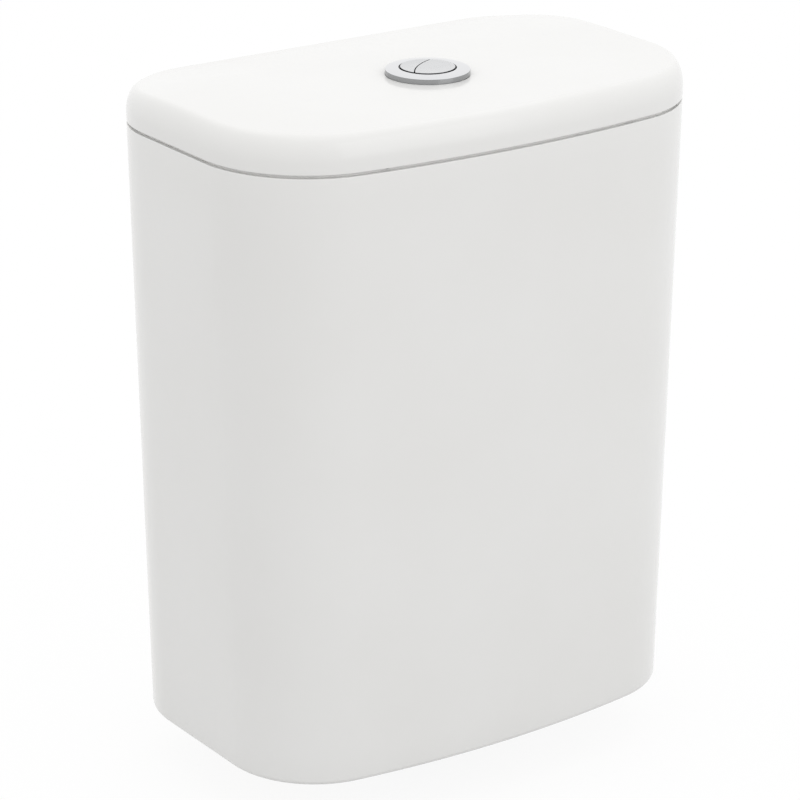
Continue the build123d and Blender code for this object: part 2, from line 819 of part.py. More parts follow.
def inlet_parts():
    """The fill valve's tail through the floor, with its seal, washer, back nut and filter."""
    washer_low = recess_depth - inlet_washer
    nut_low = washer_low - inlet_nut_height
    spigot_r = riser_r - riser_wall - thread_gap
    tail = turned(
        [
            (inlet_bore_r, -inlet_tail),
            (inlet_thread_r, -inlet_tail),
            (inlet_thread_r, nut_low),
            (inlet_shank_r, nut_low),
            (inlet_shank_r, inlet_flange_low),
            (inlet_flange_r, inlet_flange_low),
            (inlet_flange_r, inlet_flange_top),
            (spigot_r, inlet_flange_top),
            (spigot_r, inlet_flange_top + inlet_spigot),
            (inlet_bore_r, inlet_flange_top + inlet_spigot),
        ]
    )
    filter_r = inlet_bore_r - thread_gap
    filter_top = filter_length - inlet_tail
    strainer = turned(
        [
            (filter_r - filter_wall, -inlet_tail),
            (filter_r, -inlet_tail),
            (filter_r, filter_top),
            (0, filter_top),
            (0, filter_top - filter_wall),
            (filter_r - filter_wall, filter_top - filter_wall),
        ]
    )
    bore = inlet_thread_r + thread_gap
    return {
        "inlet_tail": tail,
        "inlet_seal_washer": ring(inlet_flange_r, bore, tank_floor, inlet_flange_low),
        "inlet_fibre_washer": ring(inlet_washer_r, bore, washer_low, recess_depth),
        "inlet_back_nut": hex_nut(inlet_nut_flats, inlet_shank_r + thread_gap, nut_low, washer_low),
        "inlet_filter": strainer,
    }


def riser_parts():
    """The riser in two telescoping tubes, held at its height by a lock nut."""
    inner_low = riser_top_z - riser_overlap
    nut = turned(
        [
            (riser_r + thread_gap, riser_top_z - riser_nut_height / 2),
            (riser_nut_r, riser_top_z - riser_nut_height / 2),
            (riser_nut_r, riser_top_z + riser_nut_height / 2),
            (riser_inner_r + thread_gap, riser_top_z + riser_nut_height),
            (riser_inner_r + thread_gap, riser_top_z),
            (riser_r + thread_gap, riser_top_z),
        ]
    )
    grip_low = riser_top_z - riser_nut_height / 2
    notch = Pos(riser_nut_r, 0, 0) * disc(riser_nut_grip_r, grip_low, grip_low + riser_nut_height)
    nut -= [turn * notch for turn in PolarLocations(0, riser_nut_grips)]
    return {
        "riser_lower": ring(riser_r, riser_r - riser_wall, inlet_flange_top, riser_top_z),
        "riser_upper": ring(riser_inner_r, riser_inner_r - riser_inner_wall, inner_low, head_z),
        "riser_lock_nut": nut,
    }


def head_parts():
    """The fill valve's head: body with screw lugs, diaphragm, and a cap with ears for the arm's pin."""
    body_top = head_z + head_height
    cap_low = body_top + diaphragm
    cap_top = cap_low + head_cap_height
    body = disc(head_r, head_z, body_top)
    lug = Pos(head_r, 0, 0) * disc(head_lug_r, body_top - head_lug, body_top)
    body += [turn * lug for turn in PolarLocations(0, head_lugs, start_angle=45)]
    cap = disc(head_cap_r, cap_low, cap_top)
    cap = chamfer(cap.edges().group_by(Axis.Z)[-1], head_cap_edge)
    grip = Pos(head_cap_r, 0, 0) * disc(head_cap_grip_r, cap_low, cap_top)
    cap -= [turn * grip for turn in PolarLocations(0, head_cap_grips, start_angle=15)]
    ear = Rectangle(2 * arm_ear_half_width, arm_pivot_rise + head_cap_height / 2)
    ear = Pos(arm_pivot_x, arm_pivot_z - (arm_pivot_rise + head_cap_height / 2) / 2) * ear
    ear += Pos(arm_pivot_x, arm_pivot_z) * Circle(arm_ear_half_width)
    ear -= Pos(arm_pivot_x, arm_pivot_z) * Circle(arm_pin_r)
    ear_in = arm_half + guide_gap
    cap += both_sides(ear, ear_in, ear_in + arm_ear)
    pin = across(Circle(arm_pin_r), -ear_in - arm_ear - thread_gap, ear_in + arm_ear + thread_gap)
    return {
        "fill_head_body": body,
        "fill_diaphragm": disc(diaphragm_r, body_top, cap_low),
        "fill_head_cap": cap,
        "arm_pin": Pos(arm_pivot_x, 0, arm_pivot_z) * pin,
    }


def float_arm():
    """The float arm: pivoted on the cap, with a slot for the float rod's cross pin."""
    boss = Circle(arm_boss_r)
    end = Pos(arm_length, 0) * Circle(arm_end_r)
    arm = make_hull([*boss.edges(), *end.edges()])
    arm -= Circle(arm_pin_r + pivot_gap)
    arm -= Pos(arm_length, 0) * SlotCenterToCenter(arm_slot, 2 * arm_slot_r)
    lever = across(arm, -arm_half, arm_half)
    return Pos(arm_pivot_x, 0, arm_pivot_z) * Rot(0, -arm_angle, 0) * lever


def float_cup():
    """The float: a cup open below that slides on the riser, with a boss for the rod's clip."""
    high = float_z + float_height
    bore = riser_inner_r + guide_gap
    body = turned(
        [
            (bore, float_z),
            (float_sleeve_r, float_z),
            (float_sleeve_r, high - float_wall),
            (float_r - float_wall, high - float_wall),
            (float_r - float_wall, float_z),
            (float_r, float_z),
            (float_r, high),
            (bore, high),
        ]
    )
    top = body.edges().group_by(Axis.Z)[-1].sort_by(SortBy.RADIUS)[-1]
    body = chamfer(top, float_edge)
    body -= Pos(rod_x, 0, 0) * disc(float_rod_r + thread_gap, high - float_wall, high)
    return body


def float_rod():
    """The adjusting rod: fixed in the float's clip, forked round the arm with a pin in its slot."""
    low = float_z + float_height - float_wall - clip_height
    fork_in = arm_half + guide_gap
    fork_out = fork_in + rod_fork
    fork_low = rod_pin_z - arm_end_r - rod_fork_r - rod_fork
    prong = make_face(
        Polyline(
            [
                (-rod_fork_r, fork_low),
                (rod_fork_r, fork_low),
                (rod_fork_r, rod_pin_z),
                (-rod_fork_r, rod_pin_z),
            ],
            close=True,
        )
    )
    prong += Pos(0, rod_pin_z) * Circle(rod_fork_r)
    rod = disc(float_rod_r, low, fork_low + rod_fork / 2)
    rod += both_sides(prong, fork_in, fork_out)
    rod += block((-rod_fork_r, rod_fork_r), (-fork_out, fork_out), (fork_low, fork_low + rod_fork))
    rod += Pos(0, 0, rod_pin_z) * across(Circle(float_rod_pin_r), -fork_out, fork_out)
    return Pos(rod_x, 0, 0) * rod


def rod_clip():
    """The clip on the float that grips the rod and sets the water level."""
    low = float_z + float_height
    clip = ring(clip_r, float_rod_r + thread_gap, low, low + clip_height)
    lug_x = (clip_r - overrun, clip_r + clip_lug)
    clip += block(lug_x, (-rod_fork / 2, rod_fork / 2), (low, low + clip_height))
    return Pos(rod_x, 0, 0) * clip


parts = {
    "tank": tank(),
    "lid": lid(),
    "lid_buffers": lid_buffers(),
    "button_bezel": button_bezel(),
    "button_housing": button_housing(),
    "bezel_gasket": bezel_gasket(),
    "full_button": button_cap(True),
    "half_button": button_cap(False),
    "full_push_rod": push_rod(1),
    "half_push_rod": push_rod(-1),
    "full_button_spring": return_spring(1),
    "half_button_spring": return_spring(-1),
    "flush_valve_base": flush_valve_base(),
    "base_seal_washer": ring(base_flange_r, base_seal_inner_r, tank_floor, flange_low),
    "outlet_back_nut": outlet_back_nut(),
    "pan_gasket": pan_gasket(),
    "valve_cage": valve_cage(),
    "tower_frame": tower_frame(),
    "rocker_pin": rocker_pin(),
    "full_rocker": rocker(True),
    "half_rocker": rocker(False),
    "stem_tube": stem_tube(),
    "seal_carrier": seal_carrier(),
    "outlet_seal": outlet_seal(),
    "stem_float": stem_float(),
    "stem_yoke": stem_yoke(),
    "half_lifter": half_lifter(),
    "float_bracket": float_bracket(),
    "half_float": half_float(),
}
parts["housing_washer"], parts["housing_nut"] = clamp_parts()
for name, piece in bolt_stack().items():
    parts[name] = pair_at(piece, bolt_spacing)
for name, piece in (inlet_parts() | riser_parts() | head_parts()).items():
    parts[name] = fill_place * piece
for name, piece in {
    "float_arm": float_arm(),
    "float_cup": float_cup(),
    "float_rod": float_rod(),
    "rod_clip": rod_clip(),
}.items():
    parts[name] = fill_place * piece

os.makedirs("parts", exist_ok=True)
for name, piece in parts.items():
    export_step(piece, f"parts/{name}.step")
    print(f"{name}: {len(piece.solids())} solids, {piece.volume / 1000:.2f} cm3")
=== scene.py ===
import json

import bmesh
import bpy
import numpy as np
from mathutils import Matrix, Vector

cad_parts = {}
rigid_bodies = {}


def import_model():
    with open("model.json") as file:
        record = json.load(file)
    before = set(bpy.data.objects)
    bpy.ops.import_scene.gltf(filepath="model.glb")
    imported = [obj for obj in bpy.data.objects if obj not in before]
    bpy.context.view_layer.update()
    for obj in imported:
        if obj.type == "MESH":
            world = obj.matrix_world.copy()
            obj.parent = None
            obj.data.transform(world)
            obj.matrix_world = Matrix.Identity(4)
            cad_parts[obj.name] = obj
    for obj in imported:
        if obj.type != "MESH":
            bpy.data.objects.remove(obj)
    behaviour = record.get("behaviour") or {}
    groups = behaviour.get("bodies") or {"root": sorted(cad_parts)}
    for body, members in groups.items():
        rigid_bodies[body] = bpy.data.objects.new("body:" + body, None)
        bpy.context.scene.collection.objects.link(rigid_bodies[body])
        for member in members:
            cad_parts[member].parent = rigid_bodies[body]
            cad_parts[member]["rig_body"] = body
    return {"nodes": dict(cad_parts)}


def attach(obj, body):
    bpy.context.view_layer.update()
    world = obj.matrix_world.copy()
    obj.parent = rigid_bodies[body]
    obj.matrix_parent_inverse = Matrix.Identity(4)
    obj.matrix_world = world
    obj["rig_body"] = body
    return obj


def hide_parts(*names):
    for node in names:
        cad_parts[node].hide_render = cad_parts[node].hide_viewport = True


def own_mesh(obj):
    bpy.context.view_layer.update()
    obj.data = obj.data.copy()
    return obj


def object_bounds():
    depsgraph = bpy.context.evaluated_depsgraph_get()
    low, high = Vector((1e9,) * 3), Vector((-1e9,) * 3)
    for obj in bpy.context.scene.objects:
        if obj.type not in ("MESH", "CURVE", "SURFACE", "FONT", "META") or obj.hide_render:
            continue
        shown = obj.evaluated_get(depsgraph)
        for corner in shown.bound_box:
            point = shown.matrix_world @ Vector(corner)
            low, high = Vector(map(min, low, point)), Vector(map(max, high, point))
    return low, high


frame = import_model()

cad_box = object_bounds()

# The tank: vitreous china, slip-cast in one piece with a flat back and a bowed front, then glazed and fired.
# It leans in by a few millimetres towards its foot. Lengths are in millimetres until a mesh is made.
MM = 0.001
TANK_WIDTH = 360.0
TANK_DEPTH = 225.0
TANK_BACK = 127.0
TANK_HEIGHT = 417.0
FRONT_BOW = 19.3
SIDE_LEAN = 10.6
FRONT_LEAN = 3.5
RIM_CORNER = 76.2
FOOT_CORNER = 65.7
BACK_CORNER = 65.8
TANK_WALL = 9.0
TANK_FLOOR = 12.0
TANK_COVE = 8.0
FOOT_ROUND = 4.0
RIM_ROUND = 2.4
REBATE_DEPTH = 1.7
REBATE_WIDTH = 3.2
REBATE_ROUND = 0.6
RECESS_DEPTH = 4.0
RECESS_STRAIGHT = 42.0
RECESS_END_R = 55.0
OUTLET_HOLE_R = 32.0
BOLT_X = 75.0
BOLT_HOLE_R = 7.0
INLET_X = -115.0
INLET_Y = 20.0
INLET_HOLE_R = 12.5
INLET_SPOT_R = 24.0
SCREW_X = 90.0
SCREW_Z = 360.0
SCREW_HOLE_R = 4.0
CUT_OVERRUN = 1.0
FRONT_STEPS = 24
CORNER_STEPS = 40
SIDE_STEPS = 10
BACK_CORNER_STEPS = 36
BACK_STEPS = 24
ROUND_STEPS = 9
WALL_STEPS = 26
CRISP_ANGLE = 35.0
WELD = 0.004
GLAZE_ROUGHNESS = 0.16
GLAZE_COAT = 0.25
BISQUE_ROUGHNESS = 0.8
UNGLAZED_TO = 0.2
GLAZED_FROM = 0.6
GLAZE_WAVE = 0.12
GLAZE_PEEL = 0.008
CHINA_WHITE = (0.845, 0.842, 0.83)
CHINA_SHADE = (0.825, 0.82, 0.805)
BISQUE = (0.72, 0.69, 0.64)


def arc(centre_x, centre_y, radius, start, end, count):
    """Points of a circle from one angle to another, its last one left out: centre + radius times (cos, sin)."""
    turn = start + (end - start) * np.arange(count) / count
    return centre_x + radius * np.cos(turn), centre_y + radius * np.sin(turn)


def china_outline(height, inset):
    """The china's rings at heights and insets, as (rows, points, 2).

    Each is a wide front arc, a corner arc, a straight side and a back corner arc, mirrored, with a straight back.
    """
    height = np.asarray(height, float).reshape(-1, 1)
    inset = np.asarray(inset, float).reshape(-1, 1)
    share = np.clip(height / TANK_HEIGHT, 0, 1)
    half = TANK_WIDTH / 2 - SIDE_LEAN * (1 - share)
    front = TANK_BACK - TANK_DEPTH + FRONT_LEAN * (1 - share)
    corner = FOOT_CORNER + (RIM_CORNER - FOOT_CORNER) * share
    bow = (half**2 + FRONT_BOW**2) / (2 * FRONT_BOW)
    bow_y = front + bow
    corner_x = half - corner
    corner_y = bow_y - np.sqrt((bow - corner) ** 2 - corner_x**2)
    lean = np.arctan2(corner_x, bow_y - corner_y)
    down = -np.pi / 2
    back_x = half - BACK_CORNER
    back_y = TANK_BACK - BACK_CORNER
    front_x, front_ys = arc(0, bow_y, bow - inset, down, down + lean, FRONT_STEPS)
    corner_xs, corner_ys = arc(corner_x, corner_y, corner - inset, down + lean, 0, CORNER_STEPS)
    run = np.arange(SIDE_STEPS) / SIDE_STEPS
    side_x = np.repeat(half - inset, SIDE_STEPS, axis=1)
    side_y = corner_y + (back_y - corner_y) * run
    back_xs, back_ys = arc(back_x, back_y, BACK_CORNER - inset, 0, np.pi / 2, BACK_CORNER_STEPS)
    run = np.arange(BACK_STEPS + 1) / BACK_STEPS
    end_x = back_x * (1 - run)
    end_y = np.repeat(TANK_BACK - inset, BACK_STEPS + 1, axis=1)
    x = np.concatenate([front_x, corner_xs, side_x, back_xs, end_x], axis=1)
    y = np.concatenate([front_ys, corner_ys, side_y, back_ys, end_y], axis=1)
    x = np.concatenate([x, -x[:, -2:0:-1]], axis=1)
    y = np.concatenate([y, y[:, -2:0:-1]], axis=1)
    return np.stack([x, y], axis=2)


def ring_rows(outlines, heights):
    """Rings of (x, y) points lifted to their heights, as (rows, points, 3)."""
    heights = np.asarray(heights, float).reshape(-1, 1)
    level = np.broadcast_to(heights, outlines.shape[:2])
    return np.concatenate([outlines, level[..., None]], axis=2)


def around(outline, radius):
    """A ring about the origin whose points lie in the directions of an outline's points, at a radius."""
    turn = np.arctan2(outline[:, 1], outline[:, 0])
    return np.stack([radius * np.cos(turn), radius * np.sin(turn)], axis=1)


def between(first, last, steps, low, high):
    """Rings that pass evenly from one ring to another over some steps, with their heights."""
    share = (np.arange(1, steps + 1) / steps).reshape(-1, 1, 1)
    rings = first + (last - first) * share
    return ring_rows(rings, low + (high - low) * share.reshape(-1))


def surface(name, points, closed_rows=False):
    """A mesh whose vertex (i, j) is points[i, j], neighbours joined by quads and each row closed into a ring.

    closed_rows joins the last row to the first. A row drawn to one point becomes a pole, and other end rows are
    capped. Edges that turn more than CRISP_ANGLE stay crisp.
    """
    points = np.asarray(points, float)
    rows, columns = points.shape[:2]
    i, j = np.meshgrid(np.arange(rows if closed_rows else rows - 1), np.arange(columns), indexing="ij")
    k = (i + 1) % rows
    m = (j + 1) % columns
    quads = np.stack([i * columns + j, i * columns + m, k * columns + m, k * columns + j], axis=2).reshape(-1, 4)
    mesh = bpy.data.meshes.new(name)
    mesh.from_pydata((points.reshape(-1, 3) * MM).tolist(), [], quads.tolist())
    work = bmesh.new()
    work.from_mesh(mesh)
    bmesh.ops.remove_doubles(work, verts=work.verts, dist=WELD * MM)
    bmesh.ops.holes_fill(work, edges=work.edges, sides=0)
    bmesh.ops.recalc_face_normals(work, faces=work.faces)
    work.to_mesh(mesh)
    work.free()
    mesh.shade_smooth()
    mesh.set_sharp_from_angle(angle=np.radians(CRISP_ANGLE))
    piece = bpy.data.objects.new(name, mesh)
    bpy.context.scene.collection.objects.link(piece)
    return piece


def turned(profile, place=(0, 0), count=96, swell=None):
    """Rows of points of a profile of (radius, height) pairs spun about an upright axis at a place.

    swell, where given, takes radius, height and angle arrays and returns the radius, for grips and threads.
    """
    profile = np.asarray(profile, float)
    turn = np.linspace(0, 2 * np.pi, count, endpoint=False)
    radius = np.repeat(profile[:, :1], count, axis=1)
    height = np.repeat(profile[:, 1:], count, axis=1)
    if swell:
        radius = swell(radius, height, turn[None, :])
    x = place[0] + radius * np.cos(turn)
    y = place[1] + radius * np.sin(turn)
    return np.stack([x, y, height], axis=2)


def cut(piece, *cutters):
    """Takes solid cutters out of a piece, then removes them."""
    for cutter in cutters:
        modifier = piece.modifiers.new("cut", "BOOLEAN")
        modifier.operation = "DIFFERENCE"
        modifier.solver = "EXACT"
        modifier.object = cutter
    bpy.context.view_layer.update()
    result = bpy.data.meshes.new_from_object(piece.evaluated_get(bpy.context.evaluated_depsgraph_get()))
    piece.modifiers.clear()
    piece.data = result
    result.set_sharp_from_angle(angle=np.radians(CRISP_ANGLE))
    for cutter in cutters:
        bpy.data.objects.remove(cutter)


def new_finish(name, colour, roughness, metallic=0.0, specular=0.5, coat=0.0):
    """A material with one Principled shader, returned with its nodes, links, shader and Object coordinates."""
    material = bpy.data.materials.new(name)
    material.use_nodes = True
    nodes = material.node_tree.nodes
    links = material.node_tree.links
    shader = nodes["Principled BSDF"]
    shader.inputs["Base Color"].default_value = (*colour, 1)
    shader.inputs["Roughness"].default_value = roughness
    shader.inputs["Metallic"].default_value = metallic
    shader.inputs["Specular IOR Level"].default_value = specular
    shader.inputs["Coat Weight"].default_value = coat
    shader.inputs["Coat Roughness"].default_value = 0.06
    coordinates = nodes.new("ShaderNodeTexCoord").outputs["Object"]
    return material, nodes, links, shader, coordinates


def noise_at(nodes, links, coordinates, scale, detail=3.0, stretch=(1, 1, 1)):
    """Noise read from the object's own coordinates, stretched along its axes."""
    mapping = nodes.new("ShaderNodeMapping")
    mapping.inputs["Scale"].default_value = stretch
    links.new(coordinates, mapping.inputs["Vector"])
    noise = nodes.new("ShaderNodeTexNoise")
    noise.inputs["Scale"].default_value = scale
    noise.inputs["Detail"].default_value = detail
    links.new(mapping.outputs["Vector"], noise.inputs["Vector"])
    return noise.outputs["Fac"]


def spread(nodes, links, value, low, high, start=0.3, end=0.7):
    """A value's middle range carried over to another range."""
    node = nodes.new("ShaderNodeMapRange")
    for socket, number in zip(("From Min", "From Max", "To Min", "To Max"), (start, end, low, high)):
        node.inputs[socket].default_value = number
    links.new(value, node.inputs["Value"])
    return node.outputs["Result"]


def tinted(nodes, links, value, first, second):
    """A colour that passes from the first to the second as the value goes from 0 to 1."""
    node = nodes.new("ShaderNodeMix")
    node.data_type = "RGBA"
    node.inputs["A"].default_value = (*first, 1)
    node.inputs["B"].default_value = (*second, 1)
    links.new(value, node.inputs["Factor"])
    return node.outputs["Result"]


def relief(nodes, links, shader, layers):
    """Bump from layers of (value, height in millimetres), each laid over the one before."""
    normal = None
    for value, height in layers:
        bump = nodes.new("ShaderNodeBump")
        bump.inputs["Strength"].default_value = 1.0
        bump.inputs["Distance"].default_value = height * MM
        links.new(value, bump.inputs["Height"])
        if normal:
            links.new(normal, bump.inputs["Normal"])
        normal = bump.outputs["Normal"]
    links.new(normal, shader.inputs["Normal"])


def china_finish():
    """White glaze over china: slow drift of tone, faint orange peel, a rough unglazed foot."""
    material, nodes, links, shader, place = new_finish("china_glaze", CHINA_WHITE, GLAZE_ROUGHNESS, coat=GLAZE_COAT)
    drift = spread(nodes, links, noise_at(nodes, links, place, 9.0), 0, 1)
    tone = tinted(nodes, links, drift, CHINA_WHITE, CHINA_SHADE)
    split = nodes.new("ShaderNodeSeparateXYZ")
    links.new(place, split.inputs["Vector"])
    foot = spread(nodes, links, split.outputs["Z"], 1, 0, UNGLAZED_TO * MM, GLAZED_FROM * MM)
    mix = nodes.new("ShaderNodeMix")
    mix.data_type = "RGBA"
    links.new(foot, mix.inputs["Factor"])
    links.new(tone, mix.inputs["A"])
    mix.inputs["B"].default_value = (*BISQUE, 1)
    links.new(mix.outputs["Result"], shader.inputs["Base Color"])
    gloss = spread(nodes, links, noise_at(nodes, links, place, 40.0), 0.13, 0.2)
    rough = nodes.new("ShaderNodeMix")
    links.new(foot, rough.inputs["Factor"])
    links.new(gloss, rough.inputs["A"])
    rough.inputs["B"].default_value = BISQUE_ROUGHNESS
    links.new(rough.outputs["Result"], shader.inputs["Roughness"])
    peel = noise_at(nodes, links, place, 260.0, 1.0)
    wave = noise_at(nodes, links, place, 28.0, 1.0)
    relief(nodes, links, shader, [(wave, GLAZE_WAVE), (peel, GLAZE_PEEL)])
    return material


china = china_finish()
quarter = np.linspace(0, np.pi / 2, ROUND_STEPS)
foot_z = FOOT_ROUND * (1 - np.cos(quarter))
foot_inset = FOOT_ROUND * (1 - np.sin(quarter))
wall_z = np.linspace(FOOT_ROUND, TANK_HEIGHT - REBATE_DEPTH - REBATE_ROUND, WALL_STEPS)[1:]
rim_z = TANK_HEIGHT - RIM_ROUND * (1 - np.sin(quarter[1:]))
rim_inset = RIM_ROUND * (1 - np.cos(quarter[1:]))
step_z = TANK_HEIGHT - REBATE_DEPTH - REBATE_ROUND * (1 - np.sin(quarter[1:]))
step_inset = REBATE_ROUND * (1 - np.cos(quarter[1:]))
top_z = TANK_HEIGHT - REBATE_ROUND * (1 - np.sin(quarter))
outside_z = np.concatenate([foot_z, wall_z, step_z, [TANK_HEIGHT - REBATE_DEPTH], top_z])
outside_inset = np.concatenate(
    [foot_inset, 0 * wall_z, step_inset, [REBATE_WIDTH], REBATE_WIDTH + REBATE_ROUND * (1 - np.cos(quarter))]
)
cove_z = TANK_FLOOR + TANK_COVE * (1 - np.sin(quarter[1:]))
cove_inset = TANK_WALL + TANK_COVE * (1 - np.cos(quarter[1:]))
inside_z = np.concatenate([rim_z[::-1], wall_z[-2:0:-1], cove_z])
inside_inset = np.concatenate([TANK_WALL - rim_inset[::-1], TANK_WALL + 0 * wall_z[-2:0:-1], cove_inset])
outside = ring_rows(china_outline(outside_z, outside_inset), outside_z)
inside = ring_rows(china_outline(inside_z, inside_inset), inside_z)
floor_ring = inside[-1, :, :2]
outlet_ring = around(floor_ring, OUTLET_HOLE_R)
turn = np.arctan2(floor_ring[:, 1], floor_ring[:, 0])
slot_r = RECESS_STRAIGHT * np.abs(np.cos(turn)) + np.sqrt(RECESS_END_R**2 - (RECESS_STRAIGHT * np.sin(turn)) ** 2)
slot_r = np.minimum(slot_r, RECESS_END_R / np.maximum(np.abs(np.sin(turn)), 0.01))
recess_ring = around(floor_ring, slot_r)
tank_rows = np.concatenate(
    [
        outside,
        inside,
        between(floor_ring, outlet_ring, 6, TANK_FLOOR, TANK_FLOOR),
        between(outlet_ring, outlet_ring, 1, RECESS_DEPTH, RECESS_DEPTH),
        between(outlet_ring, recess_ring, 4, RECESS_DEPTH, RECESS_DEPTH),
        between(recess_ring, recess_ring, 1, 0, 0),
    ]
)
tank = surface("tank_china", tank_rows, closed_rows=True)


def plug(profile, place, count=48):
    """A solid cutter from a profile that starts and ends on its axis."""
    return surface("plug", turned(profile, place, count))


above_floor = TANK_FLOOR + CUT_OVERRUN
bolt_profile = [(0, -CUT_OVERRUN), (BOLT_HOLE_R, -CUT_OVERRUN), (BOLT_HOLE_R, above_floor), (0, above_floor)]
inlet_profile = [
    (0, -CUT_OVERRUN),
    (INLET_SPOT_R, -CUT_OVERRUN),
    (INLET_SPOT_R, RECESS_DEPTH),
    (INLET_HOLE_R, RECESS_DEPTH),
    (INLET_HOLE_R, above_floor),
    (0, above_floor),
]
through_wall = TANK_WALL + 2 * CUT_OVERRUN
screw_rows = turned([(0, 0), (SCREW_HOLE_R, 0), (SCREW_HOLE_R, through_wall), (0, through_wall)], count=32)
screw_rows = screw_rows[..., [0, 2, 1]] + np.array([SCREW_X, TANK_BACK - TANK_WALL - CUT_OVERRUN, SCREW_Z])
cut(
    tank,
    plug(bolt_profile, (BOLT_X, 0)),
    plug(bolt_profile, (-BOLT_X, 0)),
    plug(inlet_profile, (INLET_X, INLET_Y)),
    surface("plug", screw_rows),
    surface("plug", screw_rows * np.array([-1, 1, 1])),
)
tank.data.materials.append(china)
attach(tank, "cistern")
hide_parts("tank")


# The flush valve's base: white moulded plastic, with a coarse thread on its tail through the tank's floor.
# Its rubber seal, back nut and the foam ring that meets the pan are screwed or pushed on to the tail.
WHITE_PLASTIC = (0.72, 0.725, 0.72)
GREY_PLASTIC = (0.16, 0.175, 0.19)
BLUE_PLASTIC = (0.02, 0.085, 0.27)
BLACK_RUBBER = (0.018, 0.018, 0.02)
FOAM = (0.03, 0.03, 0.032)
NODE_WELD = 0.002
FLAT_ANGLE = 0.5
BEVEL_ANGLE = 40.0
GROOVE_POWER = 0.8


def plastic(name, colour, roughness, grain=0.02):
    """Moulded plastic: tone drifts a little with the flow in the mould, and the skin has a fine spark grain."""
    material, nodes, links, shader, place = new_finish(name, colour, roughness)
    darker = tuple(0.9 * part for part in colour)
    drift = spread(nodes, links, noise_at(nodes, links, place, 35.0, 4.0), 0, 1)
    links.new(tinted(nodes, links, drift, colour, darker), shader.inputs["Base Color"])
    gloss = spread(nodes, links, noise_at(nodes, links, place, 160.0), roughness - 0.07, roughness + 0.1)
    links.new(gloss, shader.inputs["Roughness"])
    fine = noise_at(nodes, links, place, 2600.0, 2.0)
    sink = noise_at(nodes, links, place, 55.0, 1.0)
    relief(nodes, links, shader, [(sink, 0.15), (fine, grain)])
    return material


def rubber(name, colour, roughness=0.62):
    """Moulded rubber: dusty bloom in patches over a dull, finely pitted skin."""
    material, nodes, links, shader, place = new_finish(name, colour, roughness, specular=0.35)
    bloom = tuple(part * 0.85 + 0.035 for part in colour)
    patch = spread(nodes, links, noise_at(nodes, links, place, 70.0, 6.0), 0, 1, 0.42, 0.68)
    links.new(tinted(nodes, links, patch, colour, bloom), shader.inputs["Base Color"])
    dull = spread(nodes, links, noise_at(nodes, links, place, 300.0), roughness - 0.1, roughness + 0.16)
    links.new(dull, shader.inputs["Roughness"])
    relief(nodes, links, shader, [(noise_at(nodes, links, place, 1500.0, 3.0), 0.05)])
    return material


white_plastic = plastic("white_plastic", WHITE_PLASTIC, 0.34)
grey_plastic = plastic("grey_plastic", GREY_PLASTIC, 0.38)
blue_plastic = plastic("blue_plastic", BLUE_PLASTIC, 0.34)
black_rubber = rubber("black_rubber", BLACK_RUBBER)
foam = rubber("foam_rubber", FOAM, 0.85)


def dressed(node, material, soft_edge=0.35):
    """A clean copy of a CAD node: doubles merged, flat faces joined, small bevels on its edges, smooth shading."""
    mesh = frame["nodes"][node].data.copy()
    mesh.name = node + "_dressed"
    mesh.materials.clear()
    work = bmesh.new()
    work.from_mesh(mesh)
    bmesh.ops.remove_doubles(work, verts=work.verts, dist=NODE_WELD * MM)
    bmesh.ops.dissolve_limit(work, angle_limit=np.radians(FLAT_ANGLE), verts=work.verts, edges=work.edges)
    work.to_mesh(mesh)
    work.free()
    mesh.shade_smooth()
    mesh.set_sharp_from_angle(angle=np.radians(CRISP_ANGLE))
    mesh.materials.append(material)
    piece = bpy.data.objects.new(node + "_dressed", mesh)
    bpy.context.scene.collection.objects.link(piece)
    if soft_edge:
        bevel = piece.modifiers.new("soft_edge", "BEVEL")
        bevel.width = soft_edge * MM
        bevel.segments = 2
        bevel.limit_method = "ANGLE"
        bevel.angle_limit = np.radians(BEVEL_ANGLE)
        bevel.harden_normals = True
        bevel.use_clamp_overlap = True
    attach(piece, frame["nodes"][node]["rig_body"])
    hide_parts(node)
    return piece


def softened(profile, edge, steps=4):
    """A closed profile whose corners are rounded: each becomes a short quadratic curve between its two sides."""
    profile = np.asarray(profile, float)
    before = np.roll(profile, 1, axis=0) - profile
    after = np.roll(profile, -1, axis=0) - profile
    before_length = np.linalg.norm(before, axis=1, keepdims=True)
    after_length = np.linalg.norm(after, axis=1, keepdims=True)
    reach = np.minimum(edge, 0.4 * np.minimum(before_length, after_length))
    first = (profile + before / before_length * reach)[:, None]
    last = (profile + after / after_length * reach)[:, None]
    share = np.linspace(0, 1, steps)[None, :, None]
    curve = (1 - share) ** 2 * first + 2 * share * (1 - share) * profile[:, None] + share**2 * last
    return curve.reshape(-1, 2)


def screwed(profile, low, high, pitch, depth, rows_per_turn=8):
    """A closed profile and its swell for a thread: extra rows on the outer wall between two heights, whose radius
    falls by a rounded V once a pitch as the angle goes round, fading in over the first and last half turn.
    """
    profile = np.asarray(profile, float)
    spots = np.flatnonzero((profile[:, 1] <= low + 1e-6) & (np.roll(profile[:, 1], -1) >= high - 1e-6))
    start = spots[np.argmax(profile[spots, 0])]
    count = int((high - low) / pitch * rows_per_turn)
    heights = np.linspace(low, high, count)
    radius = profile[start, 0]
    extra = np.stack([0 * heights + radius, heights], axis=1)
    longer = np.concatenate([profile[: start + 1], extra, profile[start + 1 :]])

    def swell(r, z, turn):
        phase = np.mod(z / pitch - turn / (2 * np.pi), 1.0)
        groove = (0.5 - 0.5 * np.cos(2 * np.pi * phase)) ** GROOVE_POWER
        fade = np.clip((z - low) / pitch * 2, 0, 1) * np.clip((high - z) / pitch * 2, 0, 1)
        on_wall = (np.abs(r - radius) < 0.01) & (z > low) & (z < high)
        return np.where(on_wall, r - depth * groove * fade, r)

    return longer, swell


